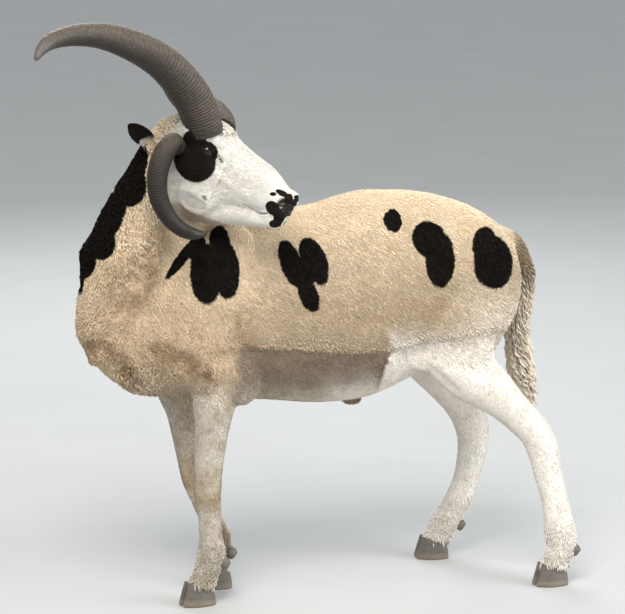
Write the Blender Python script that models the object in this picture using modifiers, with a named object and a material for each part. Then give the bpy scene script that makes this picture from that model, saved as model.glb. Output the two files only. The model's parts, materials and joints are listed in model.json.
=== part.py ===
"""A life-size Jacob ram with four horns, shorn, standing and looking back over its left shoulder.

Metres, +Z up. The ram faces -X, its left side is -Y, and its feet stand on z = 0.
The flesh is modelled whole from lofts and muscles that a voxel remesh blends, and is then parted
into torso, neck, tail and legs by thin cuts. The head is blended on a finer grid in its own frame.
"""

import math
import random

import bmesh
import bpy
import numpy as np
from mathutils import Matrix, Vector
from mathutils.bvhtree import BVHTree

GAP = 0.0003  # left between neighbouring nodes
SHIFT = (0.0471, -0.0012, 0.0)  # puts the origin under the middle of the bounding box
BODY_VOXEL = 0.0075
HEAD_VOXEL = 0.0032
SEED = 4

# Trunk, station by station from the chest to the rump: x, top, bottom, half width, squareness
TRUNK = (
    (-0.435, 0.590, 0.470, 0.042, 2.0),
    (-0.400, 0.640, 0.428, 0.078, 2.1),
    (-0.345, 0.676, 0.390, 0.105, 2.2),
    (-0.270, 0.700, 0.368, 0.122, 2.3),
    (-0.190, 0.706, 0.364, 0.131, 2.3),
    (-0.090, 0.706, 0.354, 0.143, 2.2),
    (0.000, 0.715, 0.346, 0.154, 2.2),
    (0.090, 0.736, 0.352, 0.155, 2.2),
    (0.180, 0.734, 0.388, 0.145, 2.2),
    (0.250, 0.721, 0.428, 0.130, 2.2),
    (0.310, 0.698, 0.460, 0.110, 2.1),
    (0.355, 0.668, 0.500, 0.082, 2.0),
    (0.385, 0.638, 0.545, 0.050, 2.0),
)

# Neck, from inside the chest up to the skull: centre, then half depth fore and aft, half width
NECK = (
    ((-0.260, 0.000, 0.545), 0.165, 0.105),
    ((-0.295, -0.002, 0.605), 0.147, 0.100),
    ((-0.300, -0.012, 0.665), 0.122, 0.086),
    ((-0.298, -0.030, 0.720), 0.096, 0.073),
    ((-0.288, -0.048, 0.768), 0.079, 0.064),
    ((-0.277, -0.062, 0.812), 0.068, 0.058),
    ((-0.265, -0.072, 0.848), 0.056, 0.050),
)

# The head's own frame: origin at the skull's joint with the neck, forward along the face
HEAD_AT = Vector((-0.2708, -0.0700, 0.8113))
HEAD_AZIMUTH = math.radians(-40)
HEAD_PITCH = math.radians(-24)
HEAD_ROLL = math.radians(8)

# Skull and upper jaw: forward, top, bottom, half width, squareness
SKULL = (
    (-0.030, 0.060, -0.015, 0.036, 2.0),
    (-0.008, 0.082, -0.035, 0.050, 2.1),
    (0.025, 0.094, -0.045, 0.058, 2.2),
    (0.060, 0.091, -0.050, 0.060, 2.3),
    (0.098, 0.079, -0.045, 0.051, 2.3),
    (0.130, 0.073, -0.032, 0.042, 2.3),
    (0.165, 0.067, -0.020, 0.035, 2.3),
    (0.195, 0.054, -0.010, 0.032, 2.4),
    (0.216, 0.042, -0.002, 0.029, 2.5),
    (0.229, 0.032, 0.006, 0.021, 2.4),
)
# Lower jaw: forward, top, bottom, half width, squareness
JAW = (
    (0.030, 0.010, -0.060, 0.038, 2.0),
    (0.060, 0.010, -0.076, 0.041, 2.2),
    (0.095, 0.005, -0.078, 0.037, 2.2),
    (0.130, -0.008, -0.062, 0.030, 2.2),
    (0.165, -0.008, -0.047, 0.025, 2.2),
    (0.195, -0.006, -0.034, 0.023, 2.3),
    (0.215, -0.002, -0.027, 0.021, 2.3),
    (0.225, 0.002, -0.016, 0.014, 2.2),
)
EYE_AT = (0.057, 0.043, 0.045)  # forward, out, up
EYE_RADIUS = 0.0150
LID_THICKNESS = 0.0036
EYE_CLEARANCE = 0.0003
EYE_OPENING = (0.0150, 0.0056)  # half length and half height of the slit between the lids

# The mouth line on one side, from its corner to the middle of the lips: forward, out, up
MOUTH_LINE = (
    (0.158, 0.0245, -0.0150),
    (0.172, 0.0290, -0.0110),
    (0.190, 0.0305, -0.0070),
    (0.208, 0.0280, -0.0015),
    (0.222, 0.0180, 0.0040),
    (0.2285, 0.0000, 0.0060),
)

# Horns in the head's frame, from inside the skull to the tip: forward, left, up, radius
HORN_UPPER_RIGHT = (
    (0.036, -0.036, 0.070, 0.0315),
    (0.027, -0.044, 0.086, 0.0335),
    (0.003, -0.063, 0.115, 0.0340),
    (-0.022, -0.086, 0.136, 0.0330),
    (-0.051, -0.117, 0.154, 0.0310),
    (-0.078, -0.148, 0.163, 0.0290),
    (-0.103, -0.180, 0.166, 0.0265),
    (-0.128, -0.213, 0.165, 0.0237),
    (-0.150, -0.246, 0.158, 0.0205),
    (-0.169, -0.279, 0.145, 0.0175),
    (-0.182, -0.309, 0.128, 0.0140),
    (-0.184, -0.330, 0.111, 0.0100),
    (-0.178, -0.351, 0.091, 0.0030),
)
HORN_UPPER_LEFT = (
    (0.035, 0.033, 0.073, 0.0290),
    (0.023, 0.048, 0.080, 0.0312),
    (0.000, 0.074, 0.084, 0.0315),
    (-0.030, 0.105, 0.083, 0.0305),
    (-0.062, 0.137, 0.081, 0.0290),
    (-0.094, 0.167, 0.079, 0.0260),
    (-0.126, 0.198, 0.079, 0.0220),
    (-0.156, 0.229, 0.082, 0.0175),
    (-0.184, 0.259, 0.087, 0.0110),
    (-0.204, 0.285, 0.093, 0.0030),
)
HORN_LOWER_RIGHT = (
    (0.012, -0.044, 0.026, 0.0145),
    (0.003, -0.062, 0.034, 0.0170),
    (0.002, -0.080, 0.025, 0.0182),
    (0.004, -0.091, 0.000, 0.0185),
    (0.013, -0.095, -0.030, 0.0180),
    (0.030, -0.094, -0.058, 0.0168),
    (0.056, -0.088, -0.080, 0.0152),
    (0.084, -0.078, -0.091, 0.0133),
    (0.107, -0.066, -0.090, 0.0105),
    (0.124, -0.054, -0.082, 0.0030),
)
HORN_LOWER_LEFT = (
    (0.012, 0.044, 0.026, 0.0145),
    (0.006, 0.062, 0.034, 0.0170),
    (0.010, 0.080, 0.026, 0.0180),
    (0.020, 0.090, 0.005, 0.0180),
    (0.038, 0.094, -0.018, 0.0172),
    (0.061, 0.093, -0.035, 0.0160),
    (0.085, 0.086, -0.044, 0.0142),
    (0.106, 0.077, -0.044, 0.0110),
    (0.122, 0.068, -0.039, 0.0030),
)
RINGS_UPPER = 20
RINGS_LOWER = 16
RING_DEPTH = 0.06  # share of the radius between a ring's crest and its groove

# An ear's spine in the head's frame: forward, out, up, half width
EAR = (
    (-0.020, 0.034, 0.004, 0.0090),
    (-0.030, 0.050, 0.009, 0.0105),
    (-0.039, 0.066, 0.015, 0.0140),
    (-0.047, 0.084, 0.021, 0.0170),
    (-0.054, 0.101, 0.027, 0.0155),
    (-0.060, 0.115, 0.032, 0.0105),
    (-0.064, 0.125, 0.035, 0.0035),
)
EAR_THICKNESS = 0.0042

# Legs: each point is a centre, its half depth fore and aft and its half width
FORELEGS = {
    "left": (
        ((-0.215, -0.085, 0.445), 0.060, 0.042),
        ((-0.211, -0.081, 0.375), 0.0410, 0.0350),
        ((-0.214, -0.078, 0.325), 0.0315, 0.0290),
        ((-0.217, -0.074, 0.279), 0.0275, 0.0255),
        ((-0.220, -0.071, 0.235), 0.0260, 0.0260),
        ((-0.221, -0.070, 0.204), 0.0255, 0.0265),
        ((-0.216, -0.067, 0.165), 0.0222, 0.0215),
        ((-0.214, -0.065, 0.125), 0.0225, 0.0205),
        ((-0.213, -0.062, 0.091), 0.0268, 0.0245),
        ((-0.222, -0.059, 0.060), 0.0245, 0.0235),
        ((-0.231, -0.057, 0.036), 0.0260, 0.0265),
    ),
    "right": (
        ((-0.240, 0.085, 0.445), 0.060, 0.042),
        ((-0.231, 0.083, 0.385), 0.0480, 0.0370),
        ((-0.219, 0.080, 0.339), 0.0400, 0.0330),
        ((-0.214, 0.078, 0.293), 0.0330, 0.0280),
        ((-0.209, 0.074, 0.244), 0.0285, 0.0265),
        ((-0.202, 0.070, 0.201), 0.0265, 0.0265),
        ((-0.188, 0.066, 0.158), 0.0225, 0.0215),
        ((-0.176, 0.060, 0.124), 0.0222, 0.0205),
        ((-0.164, 0.055, 0.088), 0.0262, 0.0245),
        ((-0.163, 0.051, 0.060), 0.0245, 0.0235),
        ((-0.167, 0.049, 0.036), 0.0260, 0.0265),
    ),
}
HINDLEGS = {
    "left": (
        ((0.270, -0.080, 0.545), 0.105, 0.058),
        ((0.245, -0.098, 0.475), 0.088, 0.050),
        ((0.268, -0.108, 0.410), 0.060, 0.043),
        ((0.325, -0.115, 0.355), 0.0380, 0.0340),
        ((0.362, -0.118, 0.318), 0.0320, 0.0270),
        ((0.391, -0.120, 0.286), 0.0305, 0.0255),
        ((0.407, -0.122, 0.249), 0.0300, 0.0240),
        ((0.414, -0.123, 0.215), 0.0275, 0.0215),
        ((0.429, -0.124, 0.159), 0.0262, 0.0205),
        ((0.440, -0.125, 0.100), 0.0300, 0.0245),
        ((0.443, -0.125, 0.070), 0.0285, 0.0245),
        ((0.433, -0.125, 0.045), 0.0260, 0.0250),
        ((0.428, -0.125, 0.034), 0.0260, 0.0260),
    ),
    "right": (
        ((0.270, 0.080, 0.545), 0.105, 0.058),
        ((0.255, 0.098, 0.475), 0.086, 0.050),
        ((0.265, 0.108, 0.410), 0.062, 0.043),
        ((0.308, 0.114, 0.345), 0.0450, 0.0340),
        ((0.338, 0.116, 0.300), 0.0370, 0.0280),
        ((0.357, 0.119, 0.258), 0.0345, 0.0255),
        ((0.361, 0.122, 0.215), 0.0305, 0.0235),
        ((0.350, 0.124, 0.155), 0.0262, 0.0205),
        ((0.333, 0.126, 0.108), 0.0275, 0.0235),
        ((0.313, 0.128, 0.074), 0.0265, 0.0240),
        ((0.296, 0.129, 0.046), 0.0250, 0.0245),
        ((0.289, 0.129, 0.034), 0.0255, 0.0255),
    ),
}
# Hooves: centre on the floor, direction of the toes from straight ahead in degrees
HOOVES = {
    "fore_left": ((-0.236, -0.057), 12),
    "fore_right": ((-0.172, 0.049), -4),
    "hind_left": ((0.423, -0.125), 6),
    "hind_right": ((0.283, 0.129), -6),
}
CORONET = 0.037  # height of the hair line over the middle of a hoof
CORONET_RISE = 0.30  # its rise towards the toe
CLAW_GAP = 0.0030

TAIL = (
    ((0.352, 0.000, 0.640), 0.026, 0.030),
    ((0.388, 0.000, 0.620), 0.026, 0.030),
    ((0.410, 0.000, 0.583), 0.022, 0.028),
    ((0.414, 0.001, 0.540), 0.020, 0.027),
    ((0.409, 0.002, 0.500), 0.021, 0.027),
    ((0.403, 0.003, 0.452), 0.0250, 0.030),
    ((0.408, 0.004, 0.400), 0.0245, 0.029),
    ((0.420, 0.005, 0.358), 0.0180, 0.022),
    ((0.431, 0.006, 0.328), 0.0100, 0.013),
)
SCROTUM = (
    ((0.262, 0.004, 0.475), 0.026, 0.024),
    ((0.266, 0.005, 0.440), 0.026, 0.026),
    ((0.272, 0.006, 0.405), 0.036, 0.041),
    ((0.276, 0.007, 0.378), 0.036, 0.042),
    ((0.278, 0.007, 0.358), 0.025, 0.030),
)

# Muscles and bony points that the blend swells: centre, radii, turn about Y in degrees
MUSCLES = (
    ((-0.205, 0.082, 0.545), (0.078, 0.052, 0.165), 12),  # shoulder
    ((-0.175, 0.088, 0.440), (0.058, 0.042, 0.075), -20),  # upper arm
    ((-0.340, 0.052, 0.500), (0.085, 0.070, 0.095), 0),  # point of the shoulder
    ((0.275, 0.078, 0.570), (0.105, 0.056, 0.125), -10),  # thigh
    ((0.305, 0.072, 0.520), (0.058, 0.048, 0.110), 8),  # hamstring
    ((0.195, 0.098, 0.640), (0.060, 0.036, 0.046), 10),  # hip bone
    ((0.350, 0.045, 0.600), (0.036, 0.030, 0.040), 0),  # pin bone
    ((0.150, 0.105, 0.455), (0.075, 0.020, 0.030), 30),  # flank fold
)
DEWCLAWS = {
    "fore_left": (-0.190, -0.062, 0.076),
    "fore_right": (-0.143, 0.053, 0.063),
    "hind_left": (0.466, -0.125, 0.064),
    "hind_right": (0.335, 0.128, 0.062),
}
DEWCLAW_RADII = (0.0100, 0.0085, 0.0115)
NECK_CUT = ((-0.192, 0.0, 0.706), (-0.714, 0.0, 0.700))
HEAD_CUT = ((0.0, 0.0, -0.060), (0.334, 0.0, 0.942))  # in the head's frame
SHEATH = ((0.075, 0.0, 0.347), (0.026, 0.013, 0.018))


# Woolly folds on the front of the neck and on the brisket: rows up the neck, and size of a clump
FOLD_AXIS = (-0.290, -0.010)
FOLD_ROWS = np.arange(0.415, 0.715, 0.056)
FOLD_REACH = 100  # degrees to each side of straight ahead
FOLD_SPACING = 0.070
CLUMP = (0.038, 0.030, 0.0145)  # half length down the coat, half width, half height
# Dark locks down the nape, which the turned neck brings to the front
NAPE_ROWS = np.arange(0.610, 0.800, 0.044)
NAPE_MIDDLE = 200  # degrees round from straight back, seen from above
NAPE_REACH = 48
NAPE_SPACING = 0.048
LOCK = (0.056, 0.0170, 0.0055)  # length, half width, half thickness
# Tufts at the feet of the horns and on the poll: forward, left
POLL_TUFTS = (
    (0.060, 0.000),
    (0.066, -0.022),
    (0.064, 0.022),
    (-0.024, -0.018),
    (-0.026, 0.020),
    (-0.044, 0.001),
)


def clear_scene():
    for old in list(bpy.data.objects):
        bpy.data.objects.remove(old)


def make_material(name, colour, roughness, metallic=0.0):
    """A Principled BSDF with one colour."""
    material = bpy.data.materials.new(name)
    material.use_nodes = True
    shader = material.node_tree.nodes["Principled BSDF"]
    shader.inputs["Base Color"].default_value = (*colour, 1.0)
    shader.inputs["Roughness"].default_value = roughness
    shader.inputs["Metallic"].default_value = metallic
    material.diffuse_color = (*colour, 1.0)
    return material


def curve_through(values, steps):
    """Catmull-Rom samples through rows of numbers, steps samples to each span, both ends included."""
    keys = np.asarray(values, float)
    padded = np.vstack([2 * keys[0] - keys[1], keys, 2 * keys[-1] - keys[-2]])
    rows = []
    for i in range(1, len(keys)):
        before, start, end, after = padded[i - 1 : i + 3]
        for t in np.arange(steps) / steps:
            rows.append(
                0.5
                * (
                    2 * start
                    + (end - before) * t
                    + (2 * before - 5 * start + 4 * end - after) * t**2
                    + (3 * start - before - 3 * end + after) * t**3
                )
            )
    rows.append(keys[-1])
    return np.array(rows)


def mesh_object(name, verts, faces, collection):
    mesh = bpy.data.meshes.new(name)
    mesh.from_pydata([tuple(v) for v in verts], [], faces)
    mesh.validate()
    made = bpy.data.objects.new(name, mesh)
    collection.objects.link(made)
    return made


def skin_rings(name, rings, collection):
    """A closed loft through rings of equal count, each end closed by a fan on its middle."""
    sides = len(rings[0])
    verts = [p for ring in rings for p in ring]
    faces = []
    for i in range(len(rings) - 1):
        low, high = i * sides, (i + 1) * sides
        for j in range(sides):
            k = (j + 1) % sides
            faces.append((low + j, low + k, high + k, high + j))
    first, last = len(verts), len(verts) + 1
    verts.append(np.mean(rings[0], axis=0))
    verts.append(np.mean(rings[-1], axis=0))
    top = (len(rings) - 1) * sides
    for j in range(sides):
        k = (j + 1) % sides
        faces.append((first, k, j))
        faces.append((last, top + j, top + k))
    made = mesh_object(name, verts, faces, collection)
    face_out(made)
    return made


def face_out(made):
    """Turns the faces outward and makes them triangles, so that a grown copy keeps their shape."""
    work = bmesh.new()
    work.from_mesh(made.data)
    bmesh.ops.triangulate(work, faces=work.faces)
    bmesh.ops.recalc_face_normals(work, faces=work.faces)
    work.to_mesh(made.data)
    work.free()


def oval(centre, across, along, power, sides):
    """A superellipse ring: across and along are its half axes as vectors."""
    points = []
    for j in range(sides):
        turn = 2 * math.pi * j / sides
        c, s = math.cos(turn), math.sin(turn)
        x = math.copysign(abs(c) ** (2 / power), c)
        y = math.copysign(abs(s) ** (2 / power), s)
        points.append(np.asarray(centre) + x * np.asarray(across) + y * np.asarray(along))
    return points


def slab_loft(name, stations, place, collection, steps=5, sides=28):
    """A loft of stations (forward, top, bottom, half width, squareness), put in place by a matrix."""
    rows = curve_through(stations, steps)
    rings = []
    for forward, top, bottom, half, power in rows:
        middle, tall = (top + bottom) / 2, (top - bottom) / 2
        ring = oval((forward, 0, middle), (0, half, 0), (0, 0, tall), power, sides)
        rings.append([np.array(place @ Vector(p)) for p in ring])
    return skin_rings(name, rings, collection)


def limb(name, points, collection, steps=4, sides=18, hint=(1, 0, 0), round_ends=True):
    """A tube through centres with half depth along hint and half width across it."""
    rows = curve_through([(*c, deep, wide) for c, deep, wide in points], steps)
    centres = rows[:, :3]
    tangents = np.gradient(centres, axis=0)
    tangents /= np.linalg.norm(tangents, axis=1)[:, None]
    rings = []
    for centre, tangent, (deep, wide) in zip(centres, tangents, rows[:, 3:]):
        across = np.cross(tangent, hint)
        across /= np.linalg.norm(across)
        ahead = np.cross(across, tangent)
        rings.append(oval(centre, ahead * deep, across * wide, 2.0, sides))
    if round_ends:
        rings = round_off(rings, centres, tangents, rows[:, 3])
    return skin_rings(name, rings, collection)


def round_off(rings, centres, tangents, depths):
    """Adds shrinking rings beyond both ends, so that the tube closes in a dome."""
    start, end = [], []
    for angle in (75, 50, 25):
        shrink = math.cos(math.radians(angle))
        reach = math.sin(math.radians(angle))
        for ring, centre, tangent, depth, out in (
            (rings[0], centres[0], -tangents[0], depths[0], start),
            (rings[-1], centres[-1], tangents[-1], depths[-1], end),
        ):
            shift = tangent * depth * 0.8 * reach
            out.append([centre + (p - centre) * shrink + shift for p in ring])
    return start + rings + end[::-1]


def ball(name, centre, radii, collection, turn_y=0.0, place=None, segments=20):
    """An ellipsoid from a UV sphere."""
    mesh = bpy.data.meshes.new(name)
    work = bmesh.new()
    bmesh.ops.create_uvsphere(work, u_segments=segments, v_segments=segments // 2 + 2, radius=1.0)
    scale = Matrix.Diagonal((*radii, 1.0))
    matrix = Matrix.Translation(centre) @ Matrix.Rotation(math.radians(turn_y), 4, "Y") @ scale
    if place is not None:
        matrix = place @ matrix
    work.transform(matrix)
    work.to_mesh(mesh)
    work.free()
    made = bpy.data.objects.new(name, mesh)
    collection.objects.link(made)
    return made


def head_frame():
    """Matrix from the head's own frame (forward, left, up) to the ram's."""
    forward = Vector(
        (
            math.cos(HEAD_AZIMUTH) * math.cos(HEAD_PITCH),
            math.sin(HEAD_AZIMUTH) * math.cos(HEAD_PITCH),
            math.sin(HEAD_PITCH),
        )
    )
    left = Vector((-math.sin(HEAD_AZIMUTH), math.cos(HEAD_AZIMUTH), 0))
    rise = forward.cross(left)
    up = rise * math.cos(HEAD_ROLL) + left * math.sin(HEAD_ROLL)
    left = left * math.cos(HEAD_ROLL) - rise * math.sin(HEAD_ROLL)
    matrix = Matrix((forward, left, up)).transposed().to_4x4()
    return Matrix.Translation(HEAD_AT) @ matrix


def evaluated_copy(name, source, collection):
    """The evaluated mesh of source as a new plain object; source is removed."""
    bpy.context.view_layer.update()
    graph = bpy.context.evaluated_depsgraph_get()
    mesh = bpy.data.meshes.new_from_object(source.evaluated_get(graph))
    mesh.name = name
    made = bpy.data.objects.new(name, mesh)
    made.matrix_world = source.matrix_world
    collection.objects.link(made)
    bpy.data.objects.remove(source)
    return made


def blend(name, pieces, voxel, relax, collection):
    """Joins closed pieces into one closed surface by a voxel remesh, and relaxes the creases."""
    work = bmesh.new()
    for piece in pieces:
        work.from_mesh(piece.data)
        bpy.data.objects.remove(piece)
    mesh = bpy.data.meshes.new(name)
    work.to_mesh(mesh)
    work.free()
    joined = bpy.data.objects.new(name, mesh)
    collection.objects.link(joined)
    remesh = joined.modifiers.new("blend", "REMESH")
    remesh.mode = "VOXEL"
    remesh.voxel_size = voxel
    smooth = joined.modifiers.new("relax", "SMOOTH")
    smooth.factor = 0.5
    smooth.iterations = relax
    return evaluated_copy(name, joined, collection)


def boolean(target, cutter, operation, collection, solver="EXACT"):
    """Applies one Boolean and returns the result under the target's name."""
    name = target.name
    modifier = target.modifiers.new(operation.lower(), "BOOLEAN")
    modifier.operation = operation
    modifier.solver = solver
    modifier.object = cutter
    target.name = name + "_before"
    return evaluated_copy(name, target, collection)


def duplicate(made, name, collection):
    copy = made.copy()
    copy.data = made.data.copy()
    copy.name = name
    collection.objects.link(copy)
    return copy


def grown(made, amount, collection):
    """A copy with every face moved out by amount, to cut the socket that the piece sits in."""
    copy = duplicate(made, made.name + "_socket", collection)
    work = bmesh.new()
    work.from_mesh(copy.data)
    shifts = [v.normal * amount * min(2.5, v.calc_shell_factor()) for v in work.verts]
    for vertex, shift in zip(work.verts, shifts):
        vertex.co += shift
    work.to_mesh(copy.data)
    work.free()
    return copy


def half_space(name, point, normal, size, collection, beside=(0, 1, 0)):
    """A box with one face centred on the point, on the side that the normal points to.

    Its size is given fore and aft within the face, along beside, and in depth.
    """
    depth = Vector(normal).normalized()
    across = Vector(beside)
    across = (across - depth * across.dot(depth)).normalized()
    work = bmesh.new()
    bmesh.ops.create_cube(work, size=1.0)
    turn = Matrix((across.cross(depth), across, depth)).transposed().to_4x4()
    lift = Matrix.Translation((0, 0, size[2] / 2))
    work.transform(Matrix.Translation(point) @ turn @ lift @ Matrix.Diagonal((*size, 1.0)))
    mesh = bpy.data.meshes.new(name)
    work.to_mesh(mesh)
    work.free()
    made = bpy.data.objects.new(name, mesh)
    collection.objects.link(made)
    return made


def cut(target, cutter, collection, operation="DIFFERENCE", solver="EXACT"):
    """Applies one Boolean and removes its cutter."""
    result = boolean(target, cutter, operation, collection, solver)
    bpy.data.objects.remove(cutter)
    return result


def split(body, name, point, normal, size, collection):
    """Cuts off what lies beyond a plane, within a box. Returns that piece and the rest."""
    way = Vector(normal).normalized()
    inner = half_space("inner", Vector(point) + way * GAP / 2, way, size, collection)
    wider = (size[0] + 2 * GAP, size[1] + 2 * GAP, size[2] + 2 * GAP)
    outer = half_space("outer", Vector(point) - way * GAP / 2, way, wider, collection)
    piece = cut(duplicate(body, name, collection), inner, collection, "INTERSECT")
    rest = cut(body, outer, collection)
    keep_largest(piece)
    keep_largest(rest)
    return piece, rest


def keep_largest(made):
    """Keeps only the largest closed surface of a mesh."""
    work = bmesh.new()
    work.from_mesh(made.data)
    work.faces.ensure_lookup_table()
    seen, groups = set(), []
    for face in work.faces:
        if face.index in seen:
            continue
        stack, group = [face], []
        seen.add(face.index)
        while stack:
            current = stack.pop()
            group.append(current)
            for edge in current.edges:
                for other in edge.link_faces:
                    if other.index not in seen:
                        seen.add(other.index)
                        stack.append(other)
        groups.append(group)
    groups.sort(key=lambda group: sum(face.calc_area() for face in group))
    loose = [face for group in groups[:-1] for face in group]
    bmesh.ops.delete(work, geom=loose, context="FACES")
    work.to_mesh(made.data)
    work.free()


def thin_out(made, target, collection):
    """Collapses a mesh to about target triangles."""
    triangles = sum(len(p.vertices) - 2 for p in made.data.polygons)
    decimate = made.modifiers.new("thin", "DECIMATE")
    decimate.ratio = min(1.0, target / triangles)
    decimate.use_collapse_triangulate = True
    name = made.name
    made.name = name + "_fine"
    return evaluated_copy(name, made, collection)


def body_volumes(work):
    identity = Matrix.Identity(4)
    pieces = [slab_loft("trunk", TRUNK, identity, work)]
    pieces.append(limb("neck_tube", NECK, work))
    for side in (-1, 1):
        for centre, radii, turn in MUSCLES:
            place = (centre[0], centre[1] * side, centre[2])
            pieces.append(ball("muscle", place, radii, work, turn))
    pieces.append(ball("sheath", *SHEATH, work))
    for legs in (FORELEGS, HINDLEGS):
        for points in legs.values():
            pieces.append(limb("leg", points, work))
    return pieces


def head_volumes(work):
    frame = head_frame()
    pieces = [
        slab_loft("skull", SKULL, frame, work),
        slab_loft("jaw", JAW, frame, work),
        limb("neck_top", NECK[1:], work),
    ]
    for side in (-1, 1):
        cheek = (0.072, 0.032 * side, -0.022)
        pieces.append(ball("cheek", cheek, (0.045, 0.022, 0.045), work, 20, frame))
        brow = (0.055, 0.040 * side, 0.068)
        pieces.append(ball("brow", brow, (0.032, 0.016, 0.014), work, 10, frame))
        upper_lip = (0.203, 0.018 * side, 0.012)
        pieces.append(ball("lip", upper_lip, (0.025, 0.0135, 0.019), work, 15, frame))
        lower_lip = (0.200, 0.012 * side, -0.012)
        pieces.append(ball("lip", lower_lip, (0.026, 0.013, 0.013), work, -12, frame))
        pedicle = (0.024, 0.038 * side, 0.066)
        pieces.append(ball("pedicle", pedicle, (0.038, 0.034, 0.026), work, -20, frame))
        rim = (0.213, 0.017 * side, 0.034)
        pieces.append(ball("nostril_rim", rim, (0.016, 0.012, 0.013), work, 30, frame))
    return pieces


def tube_along(name, points, radius, place, collection, sides=8):
    """A round tube through points; each may carry its own radius."""
    rows = np.array([(*place @ Vector(p[:3]), p[3] if len(p) > 3 else radius) for p in points])
    centres = rows[:, :3]
    tangents = np.gradient(centres, axis=0)
    tangents /= np.linalg.norm(tangents, axis=1)[:, None]
    across = np.cross(tangents[0], (0.3, 0.2, 1.0))
    rings = []
    for centre, tangent, radius in zip(centres, tangents, rows[:, 3]):
        across = across - tangent * np.dot(across, tangent)
        across /= np.linalg.norm(across)
        other = np.cross(tangent, across)
        rings.append(oval(centre, across * radius, other * radius, 2.0, sides))
    return skin_rings(name, rings, collection)


def horn(name, points, rings_wanted, place, collection):
    """A tapering horn with a crest and a groove for each ring over its first two thirds."""
    path = curve_through(points, 12)
    steps = np.linalg.norm(np.diff(path[:, :3], axis=0), axis=1)
    along = np.concatenate([[0.0], np.cumsum(steps)]) / steps.sum()
    ringed = np.linspace(0.0, 0.70, 2 * rings_wanted + 1)
    smooth = np.linspace(0.70, 1.0, 8)[1:]
    stations = np.concatenate([ringed, smooth])
    rows = np.stack([np.interp(stations, along, path[:, k]) for k in range(4)], axis=1)
    fade = np.clip((0.74 - stations) / 0.25, 0.0, 1.0)
    wave = np.where(np.arange(len(stations)) % 2 == 0, 0.5, -0.5)
    rows[:, 3] *= 1.0 + RING_DEPTH * wave * fade
    return tube_along(name, rows, 0.0, place, collection, sides=8)


def shape_tree(made):
    work = bmesh.new()
    work.from_mesh(made.data)
    tree = BVHTree.FromBMesh(work)
    work.free()
    return tree


def lie_frame(at, normal, lie):
    """Matrix whose X runs down the coat's lie and whose Z stands on the surface."""
    up = normal.normalized()
    along = (lie - up * lie.dot(up)).normalized()
    turn = Matrix((along, up.cross(along), up)).transposed().to_4x4()
    return Matrix.Translation(at) @ turn


def make_clump(at, normal, lie, size, draw, collection):
    """A low rounded clump of wool, most of it sunk."""
    scale = draw.uniform(0.85, 1.2)
    turn = Matrix.Rotation(math.radians(draw.uniform(-30, 30)), 4, "Z")
    radii = [value * scale for value in size]
    sunk = Matrix.Translation((0, 0, -0.42 * radii[2]))
    place = lie_frame(at, normal, lie) @ turn @ sunk
    mesh = bpy.data.meshes.new("clump")
    work = bmesh.new()
    bmesh.ops.create_uvsphere(work, u_segments=6, v_segments=4, radius=1.0)
    work.transform(place @ Matrix.Diagonal((*radii, 1.0)))
    bmesh.ops.triangulate(work, faces=work.faces)
    work.to_mesh(mesh)
    work.free()
    collection.objects.link(bpy.data.objects.new("clump", mesh))


def make_lock(at, normal, lie, size, draw, collection):
    """A flat tapered lock: its root is sunk and it lies down the coat, the tip a little proud."""
    length, wide, thick = size
    length *= draw.uniform(0.8, 1.2)
    place = lie_frame(at, normal, lie)
    place = place @ Matrix.Rotation(math.radians(draw.uniform(-18, 18)), 4, "Z")
    rings = []
    for share, height, width in ((0.0, -0.007, 0.8), (0.4, 0.002, 1.0), (1.0, 0.004, 0.2)):
        deep = thick * (0.35 + 0.65 * width)
        ring = oval((share * length, 0, height), (0, wide * width, 0), (0, 0, deep), 2, 6)
        rings.append([np.array(place @ Vector(p)) for p in ring])
    skin_rings("lock", rings, collection)


def fuse(made, collection, name):
    """Joins every piece of a collection to a mesh by one union, and removes them."""
    modifier = made.modifiers.new("fuse", "BOOLEAN")
    modifier.operation = "UNION"
    modifier.solver = "EXACT"
    modifier.operand_type = "COLLECTION"
    modifier.collection = collection
    home = made.users_collection[0]
    made.name = name + "_bare"
    result = evaluated_copy(name, made, home)
    for piece in list(collection.objects):
        bpy.data.objects.remove(piece)
    keep_largest(result)
    return result


def neck_spots(tree, rows, middle, reach, spacing, draw):
    """Places and normals on the neck, found by rays towards its axis."""
    spots = []
    for i, z in enumerate(rows):
        count = max(2, round(2 * math.radians(reach) * 0.13 / spacing))
        for j in range(count):
            share = (j + 0.5 * (i % 2) + draw.uniform(-0.2, 0.2)) / count - 0.5
            turn = math.radians(middle + 2 * reach * share)
            way = Vector((math.cos(turn), math.sin(turn), 0))
            axis = Vector((*FOLD_AXIS, z + draw.uniform(-0.008, 0.008)))
            hit, normal, _, _ = tree.ray_cast(axis + way * 0.5, -way)
            if hit is not None:
                spots.append((hit, normal))
    return spots


def add_neck_wool(body, work):
    """Rounded clumps on the front of the neck and the brisket, and flat locks on the nape."""
    draw = random.Random(SEED)
    tree = shape_tree(body)
    wool = bpy.data.collections.new("neck_wool")
    work.children.link(wool)
    down = Vector((0.15, 0, -1))
    nape = neck_spots(tree, NAPE_ROWS, NAPE_MIDDLE, NAPE_REACH, NAPE_SPACING, draw)
    for hit, normal in nape:
        make_lock(hit, normal, down, LOCK, draw, wool)
    for hit, normal in neck_spots(tree, FOLD_ROWS, 180, FOLD_REACH, FOLD_SPACING, draw):
        if all((hit - other).length > 0.024 for other, _ in nape):
            make_clump(hit, normal, down, CLUMP, draw, wool)
    return fuse(body, wool, "body")


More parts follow.
